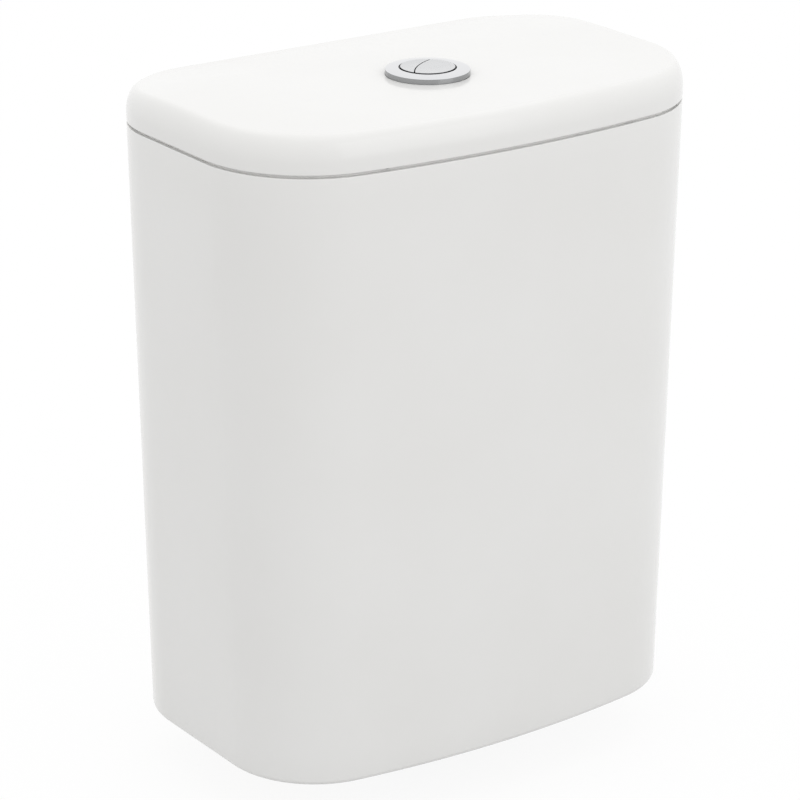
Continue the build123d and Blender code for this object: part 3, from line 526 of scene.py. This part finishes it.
def add_piece(name, rows, material, body, node, closed_rows=True):
    """A new piece from rows of points that stands for a CAD node, with its finish and body."""
    piece = surface(name, rows, closed_rows=closed_rows)
    piece.data.materials.append(material)
    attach(piece, body)
    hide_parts(node)
    return piece


BASE_TAIL = 32.0
BASE_SPIGOT = 8.0
BASE_SPIGOT_R = 29.0
BASE_THREAD_R = 29.5
BASE_BORE_R = 25.0
BASE_THROAT_R = 24.0
BASE_FLANGE_R = 40.0
BASE_FLANGE_LOW = 15.0
BASE_FLANGE_TOP = 19.0
SEAT_TOP = 30.0
SEAT_LIP = 2.5
BASE_PITCH = 3.0
BASE_THREAD = 1.1
BASE_THREAD_LEAD = 1.0
BASE_SOFT = 0.6
SPIDER_HUB_R = 4.0
SPIDER_RIB = 2.5
SPIDER_TOP = 17.0
SPIDER_SINK = 0.5
base_profile = softened(
    [
        (BASE_BORE_R, -BASE_TAIL),
        (BASE_SPIGOT_R, -BASE_TAIL),
        (BASE_SPIGOT_R, BASE_SPIGOT - BASE_TAIL),
        (BASE_THREAD_R, BASE_SPIGOT - BASE_TAIL),
        (BASE_THREAD_R, BASE_FLANGE_LOW),
        (BASE_FLANGE_R, BASE_FLANGE_LOW),
        (BASE_FLANGE_R, BASE_FLANGE_TOP),
        (BASE_THROAT_R + 2 * SEAT_LIP, BASE_FLANGE_TOP),
        (BASE_THROAT_R + SEAT_LIP, SEAT_TOP),
        (BASE_THROAT_R, SEAT_TOP),
        (BASE_THROAT_R, TANK_FLOOR),
        (BASE_BORE_R, TANK_FLOOR),
    ],
    BASE_SOFT,
)
thread_low = BASE_SPIGOT - BASE_TAIL + BASE_THREAD_LEAD
base_profile, base_thread = screwed(base_profile, thread_low, TANK_FLOOR, BASE_PITCH, BASE_THREAD)
base_rows = turned(base_profile, count=120, swell=base_thread)
add_piece("flush_base", base_rows, white_plastic, "cistern", "flush_valve_base")


def spider(radius, height, turn):
    """The star's edge: three ribs whose sides stand half a rib's width off their middle lines, round a hub."""
    off = np.abs(np.mod(turn + np.pi / 3, 2 * np.pi / 3) - np.pi / 3)
    rib = np.where(off < np.pi / 2, SPIDER_RIB / 2 / np.maximum(np.sin(off), 0.01), SPIDER_HUB_R)
    edge = np.clip(rib, SPIDER_HUB_R, BASE_THROAT_R + SPIDER_SINK)
    return radius / BASE_THROAT_R * edge


star = [(0, TANK_FLOOR), (BASE_THROAT_R, TANK_FLOOR), (BASE_THROAT_R, SPIDER_TOP), (0, SPIDER_TOP)]
spider_rows = turned(star, count=360, swell=spider)
add_piece("flush_base_spider", spider_rows, white_plastic, "cistern", "flush_valve_base", False)
dressed("base_seal_washer", black_rubber)
dressed("outlet_back_nut", white_plastic, 0.6)
dressed("pan_gasket", foam, 0.8)


# The fixings to the pan: two zinc plated steel bolts with rolled threads, each with a rubber cone and a plate
# washer inside the tank, and a rubber washer and a hexagon nut below it.
ZINC = (0.42, 0.43, 0.42)


def metal(name, colour, roughness, streak=(1, 1, 1), marks=0.004):
    """Bare or plated metal: roughness in streaks along the way it was worked, tiny marks in its relief."""
    material, nodes, links, shader, place = new_finish(name, colour, roughness, metallic=1.0)
    darker = tuple(0.82 * part for part in colour)
    cloud = spread(nodes, links, noise_at(nodes, links, place, 120.0, 5.0), 0, 1, 0.4, 0.7)
    links.new(tinted(nodes, links, cloud, colour, darker), shader.inputs["Base Color"])
    lines = noise_at(nodes, links, place, 900.0, 3.0, streak)
    links.new(spread(nodes, links, lines, roughness * 0.75, roughness * 1.35), shader.inputs["Roughness"])
    relief(nodes, links, shader, [(lines, marks)])
    return material


zinc = metal("zinc_plate", ZINC, 0.34)
BOLT_THREAD_R = 3.9
BOLT_SHANK_R = 3.6
BOLT_END = -38.0
BOLT_THREAD_TOP = -6.5
BOLT_HEAD_LOW = 17.6
BOLT_HEAD_TOP = 23.1
BOLT_FLATS = 13.0
BOLT_PITCH = 1.25
BOLT_THREAD = 0.62
BOLT_POINT = 0.9
NUT_LOW = -5.5
NUT_TOP = 1.0
NUT_CLEARANCE = 0.1
HEX_CLEAR_R = 5.0
HEX_FACE_SHARE = 0.96
HEX_CONE = np.tan(np.radians(60))
HEX_STEPS = (0, 0.08, 0.16, 0.24, 0.34, 0.45, 0.6, 0.8)


def hexagon(flats, low, high, clear_r):
    """A swell that turns the outer wall into a hexagon: flats / 2 over the cosine of the angle off each flat's
    middle, kept under a 30 degree cone at both ends, and left alone inside clear_r.
    """

    def swell(radius, height, turn):
        off = np.mod(turn, np.pi / 3) - np.pi / 6
        edge = flats / 2 / np.cos(off)
        end = np.minimum(height - low, high - height)
        edge = np.minimum(edge, flats / 2 * HEX_FACE_SHARE + end * HEX_CONE)
        return np.where(radius > clear_r, edge, radius)

    return swell


def hexagon_wall(flats, low, high):
    """The heights of a hexagon's wall: close rows where the end cones cut its corners, as (radius, height)."""
    step = np.array(HEX_STEPS)
    heights = np.concatenate([low + step, high - step[::-1]])
    return np.stack([0 * heights + flats / 2, heights], axis=1)


head_wall = hexagon_wall(BOLT_FLATS, BOLT_HEAD_LOW, BOLT_HEAD_TOP)
shank_profile = np.array(
    [
        (0, BOLT_END),
        (BOLT_THREAD_R - BOLT_POINT, BOLT_END),
        (BOLT_THREAD_R, BOLT_END + BOLT_POINT),
        (BOLT_THREAD_R, BOLT_THREAD_TOP),
        (BOLT_SHANK_R, BOLT_THREAD_TOP),
        (BOLT_SHANK_R, BOLT_HEAD_LOW),
    ]
)
thread_rows, bolt_thread = screwed(shank_profile, BOLT_END + BOLT_POINT, BOLT_THREAD_TOP, BOLT_PITCH, BOLT_THREAD)
bolt_profile = np.concatenate([thread_rows, head_wall, [(0, BOLT_HEAD_TOP)]])
head_shape = hexagon(BOLT_FLATS, BOLT_HEAD_LOW, BOLT_HEAD_TOP, HEX_CLEAR_R)
nut_wall = hexagon_wall(BOLT_FLATS, NUT_LOW, NUT_TOP)
nut_bore = BOLT_SHANK_R + NUT_CLEARANCE
nut_profile = np.concatenate([[(nut_bore, NUT_LOW)], nut_wall, [(nut_bore, NUT_TOP)]])
nut_shape = hexagon(BOLT_FLATS, NUT_LOW, NUT_TOP, HEX_CLEAR_R)
for side, word in ((-1, "left"), (1, "right")):
    place = (side * BOLT_X, 0)
    rows = turned(bolt_profile, place, 48, lambda r, z, t: head_shape(bolt_thread(r, z, t), z, t))
    add_piece("pan_bolt_" + word, rows, zinc, "cistern", "pan_bolts", False)
    rows = turned(nut_profile, place, 72, nut_shape)
    add_piece("pan_nut_" + word, rows, zinc, "cistern", "bolt_hex_nuts")
dressed("bolt_cone_washers", black_rubber)
dressed("bolt_plate_washers", zinc, 0.2)
dressed("bolt_outer_washers", black_rubber)


# The fill valve's inlet: a turned brass tail with a seal washer inside the tank, and a fibre washer, a brass
# back nut and a strainer below. The supply pipe screws on to it from below.
BRASS = (0.56, 0.37, 0.12)
FIBRE = (0.19, 0.035, 0.02)
brass = metal("turned_brass", BRASS, 0.28, (0.15, 0.15, 6))
fibre = rubber("pressed_fibre", FIBRE, 0.8)
INLET_TAIL = 24.0
INLET_THREAD_R = 10.45
INLET_SHANK_R = 10.0
INLET_BORE_R = 7.5
INLET_NUT_LOW = -5.5
INLET_NUT_TOP = 2.5
INLET_NUT_FLATS = 30.0
INLET_FLANGE_R = 17.0
INLET_FLANGE_LOW = 14.5
INLET_FLANGE_TOP = 18.0
INLET_SPIGOT_R = 8.7
INLET_SPIGOT_TOP = 30.0
INLET_PITCH = 1.814
INLET_THREAD = 0.95
INLET_CHAMFER = 0.8
INLET_THREAD_LEAD = 0.5
INLET_THREAD_GAP = 0.3
INLET_SOFT = 0.25
INLET_NUT_CLEAR_R = 12.0
inlet_profile = softened(
    [
        (INLET_BORE_R, -INLET_TAIL),
        (INLET_THREAD_R - INLET_CHAMFER, -INLET_TAIL),
        (INLET_THREAD_R, INLET_CHAMFER - INLET_TAIL),
        (INLET_THREAD_R, INLET_NUT_LOW),
        (INLET_SHANK_R, INLET_NUT_LOW),
        (INLET_SHANK_R, INLET_FLANGE_LOW),
        (INLET_FLANGE_R, INLET_FLANGE_LOW),
        (INLET_FLANGE_R, INLET_FLANGE_TOP),
        (INLET_SPIGOT_R, INLET_FLANGE_TOP),
        (INLET_SPIGOT_R, INLET_SPIGOT_TOP),
        (INLET_BORE_R, INLET_SPIGOT_TOP),
    ],
    INLET_SOFT,
)
thread_low = INLET_CHAMFER + INLET_THREAD_LEAD - INLET_TAIL
thread_high = INLET_NUT_LOW - INLET_THREAD_GAP
inlet_profile, inlet_thread = screwed(inlet_profile, thread_low, thread_high, INLET_PITCH, INLET_THREAD)
inlet_rows = turned(inlet_profile, (INLET_X, INLET_Y), 96, inlet_thread)
add_piece("inlet_thread", inlet_rows, brass, "cistern", "inlet_tail")
nut_wall = hexagon_wall(INLET_NUT_FLATS, INLET_NUT_LOW, INLET_NUT_TOP)
nut_bore = INLET_SHANK_R + NUT_CLEARANCE
nut_profile = np.concatenate([[(nut_bore, INLET_NUT_LOW)], nut_wall, [(nut_bore, INLET_NUT_TOP)]])
nut_shape = hexagon(INLET_NUT_FLATS, INLET_NUT_LOW, INLET_NUT_TOP, INLET_NUT_CLEAR_R)
nut_rows = turned(nut_profile, (INLET_X, INLET_Y), 96, nut_shape)
add_piece("inlet_nut", nut_rows, brass, "cistern", "inlet_back_nut")
dressed("inlet_seal_washer", black_rubber)
dressed("inlet_fibre_washer", fibre, 0.2)
dressed("inlet_filter", grey_plastic, 0.15)


# The fill valve's riser and head: two telescoping tubes with a lock nut, a head with a rubber diaphragm under
# a screwed cap, and the arm that the float works through a rod.
STEEL = (0.5, 0.5, 0.51)
stainless = metal("drawn_steel", STEEL, 0.24, (1, 1, 0.1))
dressed("riser_lower", white_plastic)
dressed("riser_upper", white_plastic)
dressed("riser_lock_nut", grey_plastic)
dressed("fill_head_body", white_plastic)
dressed("fill_diaphragm", black_rubber, 0.2)
dressed("fill_head_cap", grey_plastic)
dressed("arm_pin", stainless, 0.15)
dressed("float_arm", white_plastic)
dressed("float_cup", grey_plastic, 0.6)
dressed("float_rod", white_plastic, 0.2)
dressed("rod_clip", blue_plastic, 0.25)


# The flush valve: a cage over the seat, a tower on it that carries two rockers, and the stem with its seal,
# float and yoke. The half flush lifter and its float ride beside them.
SILICONE = (0.33, 0.018, 0.012)
silicone = rubber("red_silicone", SILICONE, 0.42)
dressed("valve_cage", white_plastic)
dressed("tower_frame", white_plastic)
dressed("rocker_pin", stainless, 0.2)
dressed("full_rocker", blue_plastic)
dressed("half_rocker", grey_plastic)
dressed("stem_tube", white_plastic)
dressed("seal_carrier", grey_plastic)
dressed("outlet_seal", silicone, 0.3)
dressed("stem_float", grey_plastic, 0.6)
dressed("stem_yoke", blue_plastic)
dressed("half_lifter", grey_plastic)
dressed("float_bracket", white_plastic)
dressed("half_float", blue_plastic)


# The lid: one loose china casting with a rounded edge, its top nearly level and falling a little to the wall.
# It is hollow below, with a lip inside the rim, and rests on four rubber buffers that leave the dark seam.
SEAM = 1.5
LID_LOW = TANK_HEIGHT + SEAM
LID_EDGE = 23.5
LID_CROWN = 0.5
LID_CROWN_START = 6.0
LID_CROWN_END = 60.0
LID_ROUND_IN = 8.0
LID_ROUND_UP = 17.0
LID_ROUND_POWER = 1.8
LID_FALL = 4.5
LID_FALL_START = 28.0
LID_FALL_END = 112.0
LID_FOOT_ROUND = 0.5
LID_DRIP = 1.0
LID_DRIP_WIDTH = 3.0
LID_PLATE = 9.0
LIP_OUT = 11.5
LIP_IN = 17.5
LIP_DROP = 7.0
LIP_ROUND = 1.5
LID_COVE = 5.0
LID_HOLE_R = 23.0
SEAT_R = 28.0
SEAT_SINK = 0.3
LID_ROUND_STEPS = 17
LID_CROWN_STEPS = 14
LID_TOP_STEPS = 8
SEAT_STEPS = 2
CEILING_STEPS = 6


def crown(inset):
    """How far the lid rises above its edge at an inset: a smooth step from the rounding to the middle."""
    share = np.clip((inset - LID_CROWN_START) / (LID_CROWN_END - LID_CROWN_START), 0, 1)
    return LID_CROWN * share**2 * (3 - 2 * share)


def falling(rows):
    """Lets the lid's upper side fall to the wall: by LID_FALL at the back edge, as the square of the way there."""
    share = np.clip((rows[..., 2] - LID_LOW) / (lid_top - LID_LOW), 0, 1)
    back = np.clip((rows[..., 1] - LID_FALL_START) / (LID_FALL_END - LID_FALL_START), 0, 1)
    fallen = rows.copy()
    fallen[..., 2] -= LID_FALL * share * back**2
    return fallen


edge_top = LID_LOW + LID_EDGE
lid_top = edge_top + LID_CROWN
seat_z = lid_top - SEAT_SINK
ceiling = lid_top - LID_PLATE
turn = np.linspace(0, np.pi / 2, LID_ROUND_STEPS)
drip_z = LID_LOW - LID_DRIP
foot_inset = LID_FOOT_ROUND * (1 - np.sin(quarter))
foot_z = drip_z + LID_FOOT_ROUND * (1 - np.cos(quarter))
# The rounding is a quarter of a superellipse: the power below 2 makes it leave the top more steeply.
round_inset = LID_ROUND_IN * (1 - np.clip(np.cos(turn), 0, 1) ** (2 / LID_ROUND_POWER))
round_z = edge_top - LID_ROUND_UP * (1 - np.sin(turn) ** (2 / LID_ROUND_POWER)) + crown(round_inset)
crown_inset = np.linspace(LID_ROUND_IN, LID_CROWN_END, LID_CROWN_STEPS)[1:]
over_inset = np.concatenate([foot_inset, round_inset, crown_inset])
over_z = np.concatenate([foot_z, round_z, edge_top + crown(crown_inset)])
over = ring_rows(china_outline(0 * over_inset + TANK_HEIGHT, over_inset), over_z)
cove_inset = LIP_IN + LID_COVE * (1 - np.sin(quarter))
cove_z = ceiling - LID_COVE * (1 - np.cos(quarter))
lip_low = LID_LOW - LIP_DROP
drip_inset = LID_DRIP_WIDTH - LID_DRIP
lip_inset = [LIP_IN, LIP_IN - LIP_ROUND, LIP_OUT + LIP_ROUND, LIP_OUT, LIP_OUT, LID_DRIP_WIDTH, drip_inset]
lip_z = np.array([lip_low + LIP_ROUND, lip_low, lip_low, lip_low + LIP_ROUND, LID_LOW, LID_LOW, drip_z])
under_inset = np.concatenate([cove_inset[::-1], lip_inset])
under_z = np.concatenate([cove_z[::-1], lip_z])
under = ring_rows(china_outline(0 * under_inset + TANK_HEIGHT, under_inset), under_z)
crown_ring = over[-1, :, :2]
seat_ring = around(crown_ring, SEAT_R)
hole_ring = around(crown_ring, LID_HOLE_R)
lid_rows = np.concatenate(
    [
        over,
        between(crown_ring, seat_ring, LID_TOP_STEPS, lid_top, lid_top),
        between(seat_ring, seat_ring, 1, seat_z, seat_z),
        between(seat_ring, hole_ring, SEAT_STEPS, seat_z, seat_z),
        between(hole_ring, hole_ring, 1, ceiling, ceiling),
        between(hole_ring, under[0, :, :2], CEILING_STEPS, ceiling, ceiling)[:-1],
        under,
    ]
)
lid = surface("lid_china", falling(lid_rows), closed_rows=True)
lid.data.materials.append(china)
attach(lid, "lid_set")
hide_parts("lid")
dressed("lid_buffers", black_rubber, 0.2)


# The button set: a white plastic housing clamped through the lid's hole by a ring nut on a rubber washer, with
# its flange on a gasket. A web across it guides the two push rods, and a coil spring on the web lifts each button.
BUTTON_TURN = np.radians(-53.3)
ROD_OFFSET = 11.5
WEB_TOP = 429.2
BUTTON_PLATE_Z = 442.4
SPRING_R = 4.9
SPRING_WIRE = 0.38
SPRING_TURNS = 6.0
SPRING_GAP = 0.1
SPRING_DEAD_TURNS = 0.75
STEPS_PER_TURN = 36
WIRE_STEPS = 12
dressed("button_housing", white_plastic)
dressed("bezel_gasket", black_rubber, 0.15)
dressed("housing_washer", black_rubber, 0.3)
dressed("housing_nut", white_plastic, 0.5)


def coil(centre_x, low, high, turns, radius, wire):
    """A coil spring as rows of wire rings: the centre line is a helix whose climb eases to level at both ends."""
    run = np.linspace(0, 1, int(turns * STEPS_PER_TURN) + 1)
    turn = 2 * np.pi * turns * run
    dead = SPRING_DEAD_TURNS / turns
    share = np.clip((run - dead) / (1 - 2 * dead), 0, 1)
    rise = low + wire + 2 * wire * np.minimum(run, dead) / dead * 0.5
    rise = rise + (high - low - 4 * wire) * (share - np.sin(2 * np.pi * share) / (2 * np.pi) * 0.5)
    rise = rise + wire * np.clip((run - 1 + dead) / dead, 0, 1)
    out = np.stack([np.cos(turn), np.sin(turn), 0 * turn], axis=1)
    centre = out * radius + np.stack([0 * turn, 0 * turn, rise], axis=1)
    around_wire = np.linspace(0, 2 * np.pi, WIRE_STEPS, endpoint=False)
    up = np.array([0, 0, 1.0])
    rows = centre[:, None] + wire * (
        np.cos(around_wire)[None, :, None] * out[:, None] + np.sin(around_wire)[None, :, None] * up
    )
    cos, sin = np.cos(BUTTON_TURN), np.sin(BUTTON_TURN)
    x = rows[..., 0] + centre_x
    y = rows[..., 1]
    return np.stack([x * cos - y * sin, x * sin + y * cos, rows[..., 2]], axis=2)


for side, word in ((1, "full"), (-1, "half")):
    low, high = WEB_TOP + SPRING_GAP, BUTTON_PLATE_Z - SPRING_GAP
    rows = coil(side * ROD_OFFSET, low, high, SPRING_TURNS, SPRING_R, SPRING_WIRE)
    spring = surface(word + "_spring_coil", rows)
    spring.data.materials.append(stainless)
    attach(spring, "lid_set")
    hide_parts(word + "_button_spring")
    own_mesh(spring)


dressed("full_push_rod", blue_plastic)
dressed("half_push_rod", white_plastic)


# The bezel: a pressed brass ring, polished and chrome plated, that caps the housing's flange. Its top falls a
# little to the outside and turns down over a tight edge to a band painted darker than the top: a painted reflection
# of a dark surround.
BEZEL_BASE = seat_z
BEZEL_HEIGHT = 4.9
BEZEL_FALL = 1.0
BEZEL_R = 27.7
BEZEL_EDGE = 0.4
BEZEL_PLATE = 2.4
BEZEL_WALL = 1.3
OPENING_R = 18.9
OPENING_LIP = 0.3
BEZEL_ROUND_STEPS = 7
CHROME = (0.76, 0.765, 0.78)
BAND_PAINTED_DARK = (0.33, 0.335, 0.34)
SIDE_FACING = 0.6


def chrome_finish(name, colour, roughness):
    """Chrome plate: mirror bright, with fine rub marks from cleaning and a faint haze in patches."""
    material, nodes, links, shader, place = new_finish(name, colour, roughness, metallic=1.0)
    haze = noise_at(nodes, links, place, 130.0, 4.0)
    links.new(spread(nodes, links, haze, roughness * 0.8, roughness * 1.3), shader.inputs["Roughness"])
    rub = noise_at(nodes, links, place, 900.0, 2.0, (1, 0.1, 1))
    relief(nodes, links, shader, [(rub, 0.0002)])
    return material


chrome = chrome_finish("chrome_plate", CHROME, 0.1)
bezel_top = BEZEL_BASE + BEZEL_HEIGHT
inner_round = np.linspace(0, np.pi / 2, BEZEL_ROUND_STEPS)
bezel_profile = np.concatenate(
    [
        [(OPENING_R, bezel_top - BEZEL_PLATE), (BEZEL_R - BEZEL_WALL, bezel_top - BEZEL_PLATE)],
        [(BEZEL_R - BEZEL_WALL, BEZEL_BASE), (BEZEL_R, BEZEL_BASE)],
        np.stack(
            [
                BEZEL_R - BEZEL_EDGE * (1 - np.cos(inner_round)),
                bezel_top - BEZEL_FALL - BEZEL_EDGE * (1 - np.sin(inner_round)),
            ],
            axis=1,
        ),
        np.stack(
            [
                OPENING_R + OPENING_LIP * (1 - np.sin(inner_round)),
                bezel_top - OPENING_LIP * (1 - np.cos(inner_round)),
            ],
            axis=1,
        ),
    ]
)
bezel = surface("bezel_ring", turned(bezel_profile, count=160), closed_rows=True)
bezel.data.materials.append(chrome)
# The bezel's sideways walls take a darker chrome: a painted reflection of a dark surround, not a different finish.
painted_dark_band = chrome_finish("chrome_band_painted_reflection", BAND_PAINTED_DARK, 0.2)
bezel.data.materials.append(painted_dark_band)


def paint_dark_walls(piece):
    """The walls of a chrome piece, which face sideways, take its second finish, painted dark: a painted reflection
    on the bezel and painted shade on the caps.
    """
    for face in piece.data.polygons:
        face.material_index = int(abs(face.normal.z) < SIDE_FACING)


paint_dark_walls(bezel)
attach(bezel, "lid_set")
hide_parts("button_bezel")


# The two buttons: moulded caps with satin chrome plate. The smaller one is a crescent that gives the half flush,
# and both tops dish gently inside a soft edge. A skirt under the bezel keeps them in.
CAP_R = 17.9
CAP_RISE = 0.5
CAP_DISH = 0.7
CAP_EDGE = 0.2
SKIRT_R = 19.1
SKIRT_WALL = 2.0
SKIRT_HEIGHT = 6.0
SPLIT_R = 52.0
SPLIT_OFFSET = 6.3
SPLIT_GAP = 0.7
CAP_GAP = 0.3
FULL_MIDDLE = 4.0
HALF_MIDDLE = -12.4
CAP_STEPS = 240
DISH_STEPS = 9
OUT_OF_REACH = 1000.0
SATIN_CHROME = (0.68, 0.685, 0.695)
CAP_SIDES_PAINTED_SHADE = (0.09, 0.09, 0.095)
satin = chrome_finish("satin_chrome", SATIN_CHROME, 0.24)
# The caps' sideways walls are painted near black: painted shade standing for the dark gap between the caps and the
# bezel.
dull = chrome_finish("cap_sides_painted_shade", CAP_SIDES_PAINTED_SHADE, 0.3)


def cap_ring(is_full, radius, shrink):
    """The edge of a cap about a point inside it: the nearer of the round edge and the split's arc, each way out."""
    middle = np.array([FULL_MIDDLE if is_full else HALF_MIDDLE, 0.0])
    turn = np.linspace(0, 2 * np.pi, CAP_STEPS, endpoint=False)
    way = np.stack([np.cos(turn), np.sin(turn)], axis=1)
    along = way @ middle
    reach = -along + np.sqrt((radius - shrink) ** 2 - middle @ middle + along**2)
    from_split = middle - np.array([SPLIT_R - SPLIT_OFFSET, 0.0])
    along = way @ from_split
    split = SPLIT_R - SPLIT_GAP / 2 - shrink if is_full else SPLIT_R + SPLIT_GAP / 2 + shrink
    inner = along**2 - from_split @ from_split + split**2
    if is_full:
        other = -along + np.sqrt(inner)
    else:
        near = -along - np.sqrt(np.maximum(inner, 0))
        other = np.where((inner > 0) & (near > 0), near, OUT_OF_REACH)
    return middle + way * np.minimum(reach, other)[:, None]


def cap_rows(is_full):
    """A cap from the middle of its dished top, over its edge and shoulder, down its skirt and up inside."""
    top = bezel_top + CAP_RISE
    shoulder = bezel_top - BEZEL_PLATE - CAP_GAP
    face = cap_ring(is_full, CAP_R, CAP_EDGE)
    middle = face.mean(axis=0)
    share = np.linspace(0, 1, DISH_STEPS)
    dish = middle + (face - middle)[None] * share[:, None, None]
    parts = [ring_rows(dish, top - CAP_DISH * (1 - share**2))]
    for part in inner_round[1:]:
        ring = cap_ring(is_full, CAP_R, CAP_EDGE * (1 - np.sin(part)))
        parts.append(ring_rows(ring[None], [top - CAP_EDGE * (1 - np.cos(part))]))
    for radius, shrink, height in (
        (CAP_R, 0, shoulder),
        (SKIRT_R, 0, shoulder),
        (SKIRT_R, 0, BUTTON_PLATE_Z - SKIRT_HEIGHT),
        (SKIRT_R, SKIRT_WALL, BUTTON_PLATE_Z - SKIRT_HEIGHT),
        (SKIRT_R, SKIRT_WALL, BUTTON_PLATE_Z),
    ):
        parts.append(ring_rows(cap_ring(is_full, radius, shrink)[None], [height]))
    last = np.repeat(middle[None, None], face.shape[0], axis=1)
    parts.append(ring_rows(last, [BUTTON_PLATE_Z]))
    rows = np.concatenate(parts)
    cos, sin = np.cos(BUTTON_TURN), np.sin(BUTTON_TURN)
    x, y = rows[..., 0], rows[..., 1]
    return np.stack([x * cos - y * sin, x * sin + y * cos, rows[..., 2]], axis=2)


for word in ("full", "half"):
    cap = surface(word + "_button_cap", cap_rows(word == "full"))
    cap.data.materials.append(satin)
    cap.data.materials.append(dull)
    paint_dark_walls(cap)
    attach(cap, word + "_button_set")
    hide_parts(word + "_button")


# The studio: a white floor that keeps the cistern's shadow, soft lamps and a white surround for reflections.
# The camera stands at the front left, a little above the lid.
CAMERA_TARGET = (0.00105, 0.0305, 0.2073)
CAMERA_DISTANCE = 2.347
CAMERA_AZIMUTH = np.radians(-35.36)
CAMERA_ELEVATION = np.radians(20.45)
CAMERA_ROLL = np.radians(0.3)
FLOOR_SIZE = 12.0
FLOOR_GLOW = 0.92
FLOOR_BOUNCE = (0.57, 0.57, 0.57, 1)
AMBIENT = 1.0
FLOOR_WHITE = (0.96, 0.96, 0.96)
LAMP_TARGET = (0, 0, 0.2)
TOP_LAMP = {"place": (0.1, 0.0, 2.6), "size": 3.2, "watts": 6}
FRONT_LAMP = {"place": (0.7, -2.6, 1.1), "size": 2.0, "watts": 6}
LENS = 155.7
SENSOR_WIDTH = 36.0
CLIP_END = 50.0


def shows_white(nodes, links, plain, light):
    """Mixes in plain white emission where the camera, a mirror or glass looks, and leaves the light elsewhere."""
    path = nodes.new("ShaderNodeLightPath")
    seen = nodes.new("ShaderNodeMath")
    seen.operation = "MAXIMUM"
    links.new(path.outputs["Is Camera Ray"], seen.inputs[0])
    links.new(path.outputs["Is Glossy Ray"], seen.inputs[1])
    also = nodes.new("ShaderNodeMath")
    also.operation = "MAXIMUM"
    links.new(seen.outputs["Value"], also.inputs[0])
    links.new(path.outputs["Is Transmission Ray"], also.inputs[1])
    mix = nodes.new("ShaderNodeMixShader")
    links.new(also.outputs["Value"], mix.inputs["Fac"])
    links.new(light, mix.inputs[1])
    links.new(plain, mix.inputs[2])
    return mix.outputs["Shader"]


world = bpy.data.worlds.new("studio")
bpy.context.scene.world = world
world.use_nodes = True
nodes, links = world.node_tree.nodes, world.node_tree.links
ambient = nodes["Background"]
ambient.inputs["Color"].default_value = (1, 1, 1, 1)
ambient.inputs["Strength"].default_value = AMBIENT
plain = nodes.new("ShaderNodeBackground")
plain.inputs["Strength"].default_value = 1.0
plain.inputs["Color"].default_value = (1, 1, 1, 1)
seen = shows_white(nodes, links, plain.outputs["Background"], ambient.outputs["Background"])
links.new(seen, nodes["World Output"].inputs["Surface"])

floor_mesh = bpy.data.meshes.new("floor")
half = FLOOR_SIZE / 2
floor_z = cad_box[0][2]
floor_corners = [(-half, -half, floor_z), (half, -half, floor_z), (half, half, floor_z), (-half, half, floor_z)]
floor_mesh.from_pydata(floor_corners, [], [(0, 1, 2, 3)])
floor = bpy.data.objects.new("floor", floor_mesh)
bpy.context.scene.collection.objects.link(floor)
floor_material, nodes, links, shader, place = new_finish("floor_white", FLOOR_WHITE, 0.9, specular=0.1)
glow = nodes.new("ShaderNodeEmission")
glow.inputs["Strength"].default_value = 1.0
half_glow = nodes.new("ShaderNodeMixShader")
half_glow.inputs["Fac"].default_value = FLOOR_GLOW
links.new(shader.outputs["BSDF"], half_glow.inputs[1])
links.new(glow.outputs["Emission"], half_glow.inputs[2])
bounce = nodes.new("ShaderNodeBsdfDiffuse")
bounce.inputs["Color"].default_value = FLOOR_BOUNCE
seen = shows_white(nodes, links, half_glow.outputs["Shader"], bounce.outputs["BSDF"])
# From below the floor is clear, so that the underside can be looked at.
facing = nodes.new("ShaderNodeNewGeometry")
clear = nodes.new("ShaderNodeBsdfTransparent")
one_sided = nodes.new("ShaderNodeMixShader")
links.new(facing.outputs["Backfacing"], one_sided.inputs["Fac"])
links.new(seen, one_sided.inputs[1])
links.new(clear.outputs["BSDF"], one_sided.inputs[2])
links.new(one_sided.outputs["Shader"], nodes["Material Output"].inputs["Surface"])
floor_mesh.materials.append(floor_material)


def soft_lamp(name, place, size, watts):
    """A square area lamp that faces LAMP_TARGET."""
    data = bpy.data.lights.new(name, "AREA")
    data.shape = "SQUARE"
    data.size = size
    data.energy = watts
    lamp = bpy.data.objects.new(name, data)
    place, target = np.array(place, float), np.array(LAMP_TARGET, float)
    aim = (place - target) / np.linalg.norm(place - target)
    side = np.cross([0, 0, 1.0], aim)
    side = side / np.linalg.norm(side)
    rise = np.cross(aim, side)
    turned_frame = np.eye(4)
    turned_frame[:3, 0], turned_frame[:3, 1], turned_frame[:3, 2], turned_frame[:3, 3] = side, rise, aim, place
    lamp.matrix_world = Matrix(turned_frame.tolist())
    bpy.context.scene.collection.objects.link(lamp)


soft_lamp("top_lamp", **TOP_LAMP)
soft_lamp("front_lamp", **FRONT_LAMP)

cos_e, sin_e = np.cos(CAMERA_ELEVATION), np.sin(CAMERA_ELEVATION)
cos_a, sin_a = np.cos(CAMERA_AZIMUTH), np.sin(CAMERA_AZIMUTH)
back = np.array([sin_a * cos_e, -cos_a * cos_e, sin_e])
level = np.array([cos_a, sin_a, 0.0])
upright = np.cross(back, level)
right = level * np.cos(CAMERA_ROLL) + upright * np.sin(CAMERA_ROLL)
up = upright * np.cos(CAMERA_ROLL) - level * np.sin(CAMERA_ROLL)
camera_data = bpy.data.cameras.new("camera")
camera_data.lens = LENS
camera_data.sensor_width = SENSOR_WIDTH
camera_data.clip_end = CLIP_END
camera = bpy.data.objects.new("camera", camera_data)
bpy.context.scene.collection.objects.link(camera)
spot = np.array(CAMERA_TARGET) + back * CAMERA_DISTANCE
view = np.eye(4)
view[:3, 0], view[:3, 1], view[:3, 2], view[:3, 3] = right, up, back, spot
camera.matrix_world = Matrix(view.tolist())
bpy.context.scene.camera = camera
bpy.context.scene.view_settings.view_transform = "Standard"
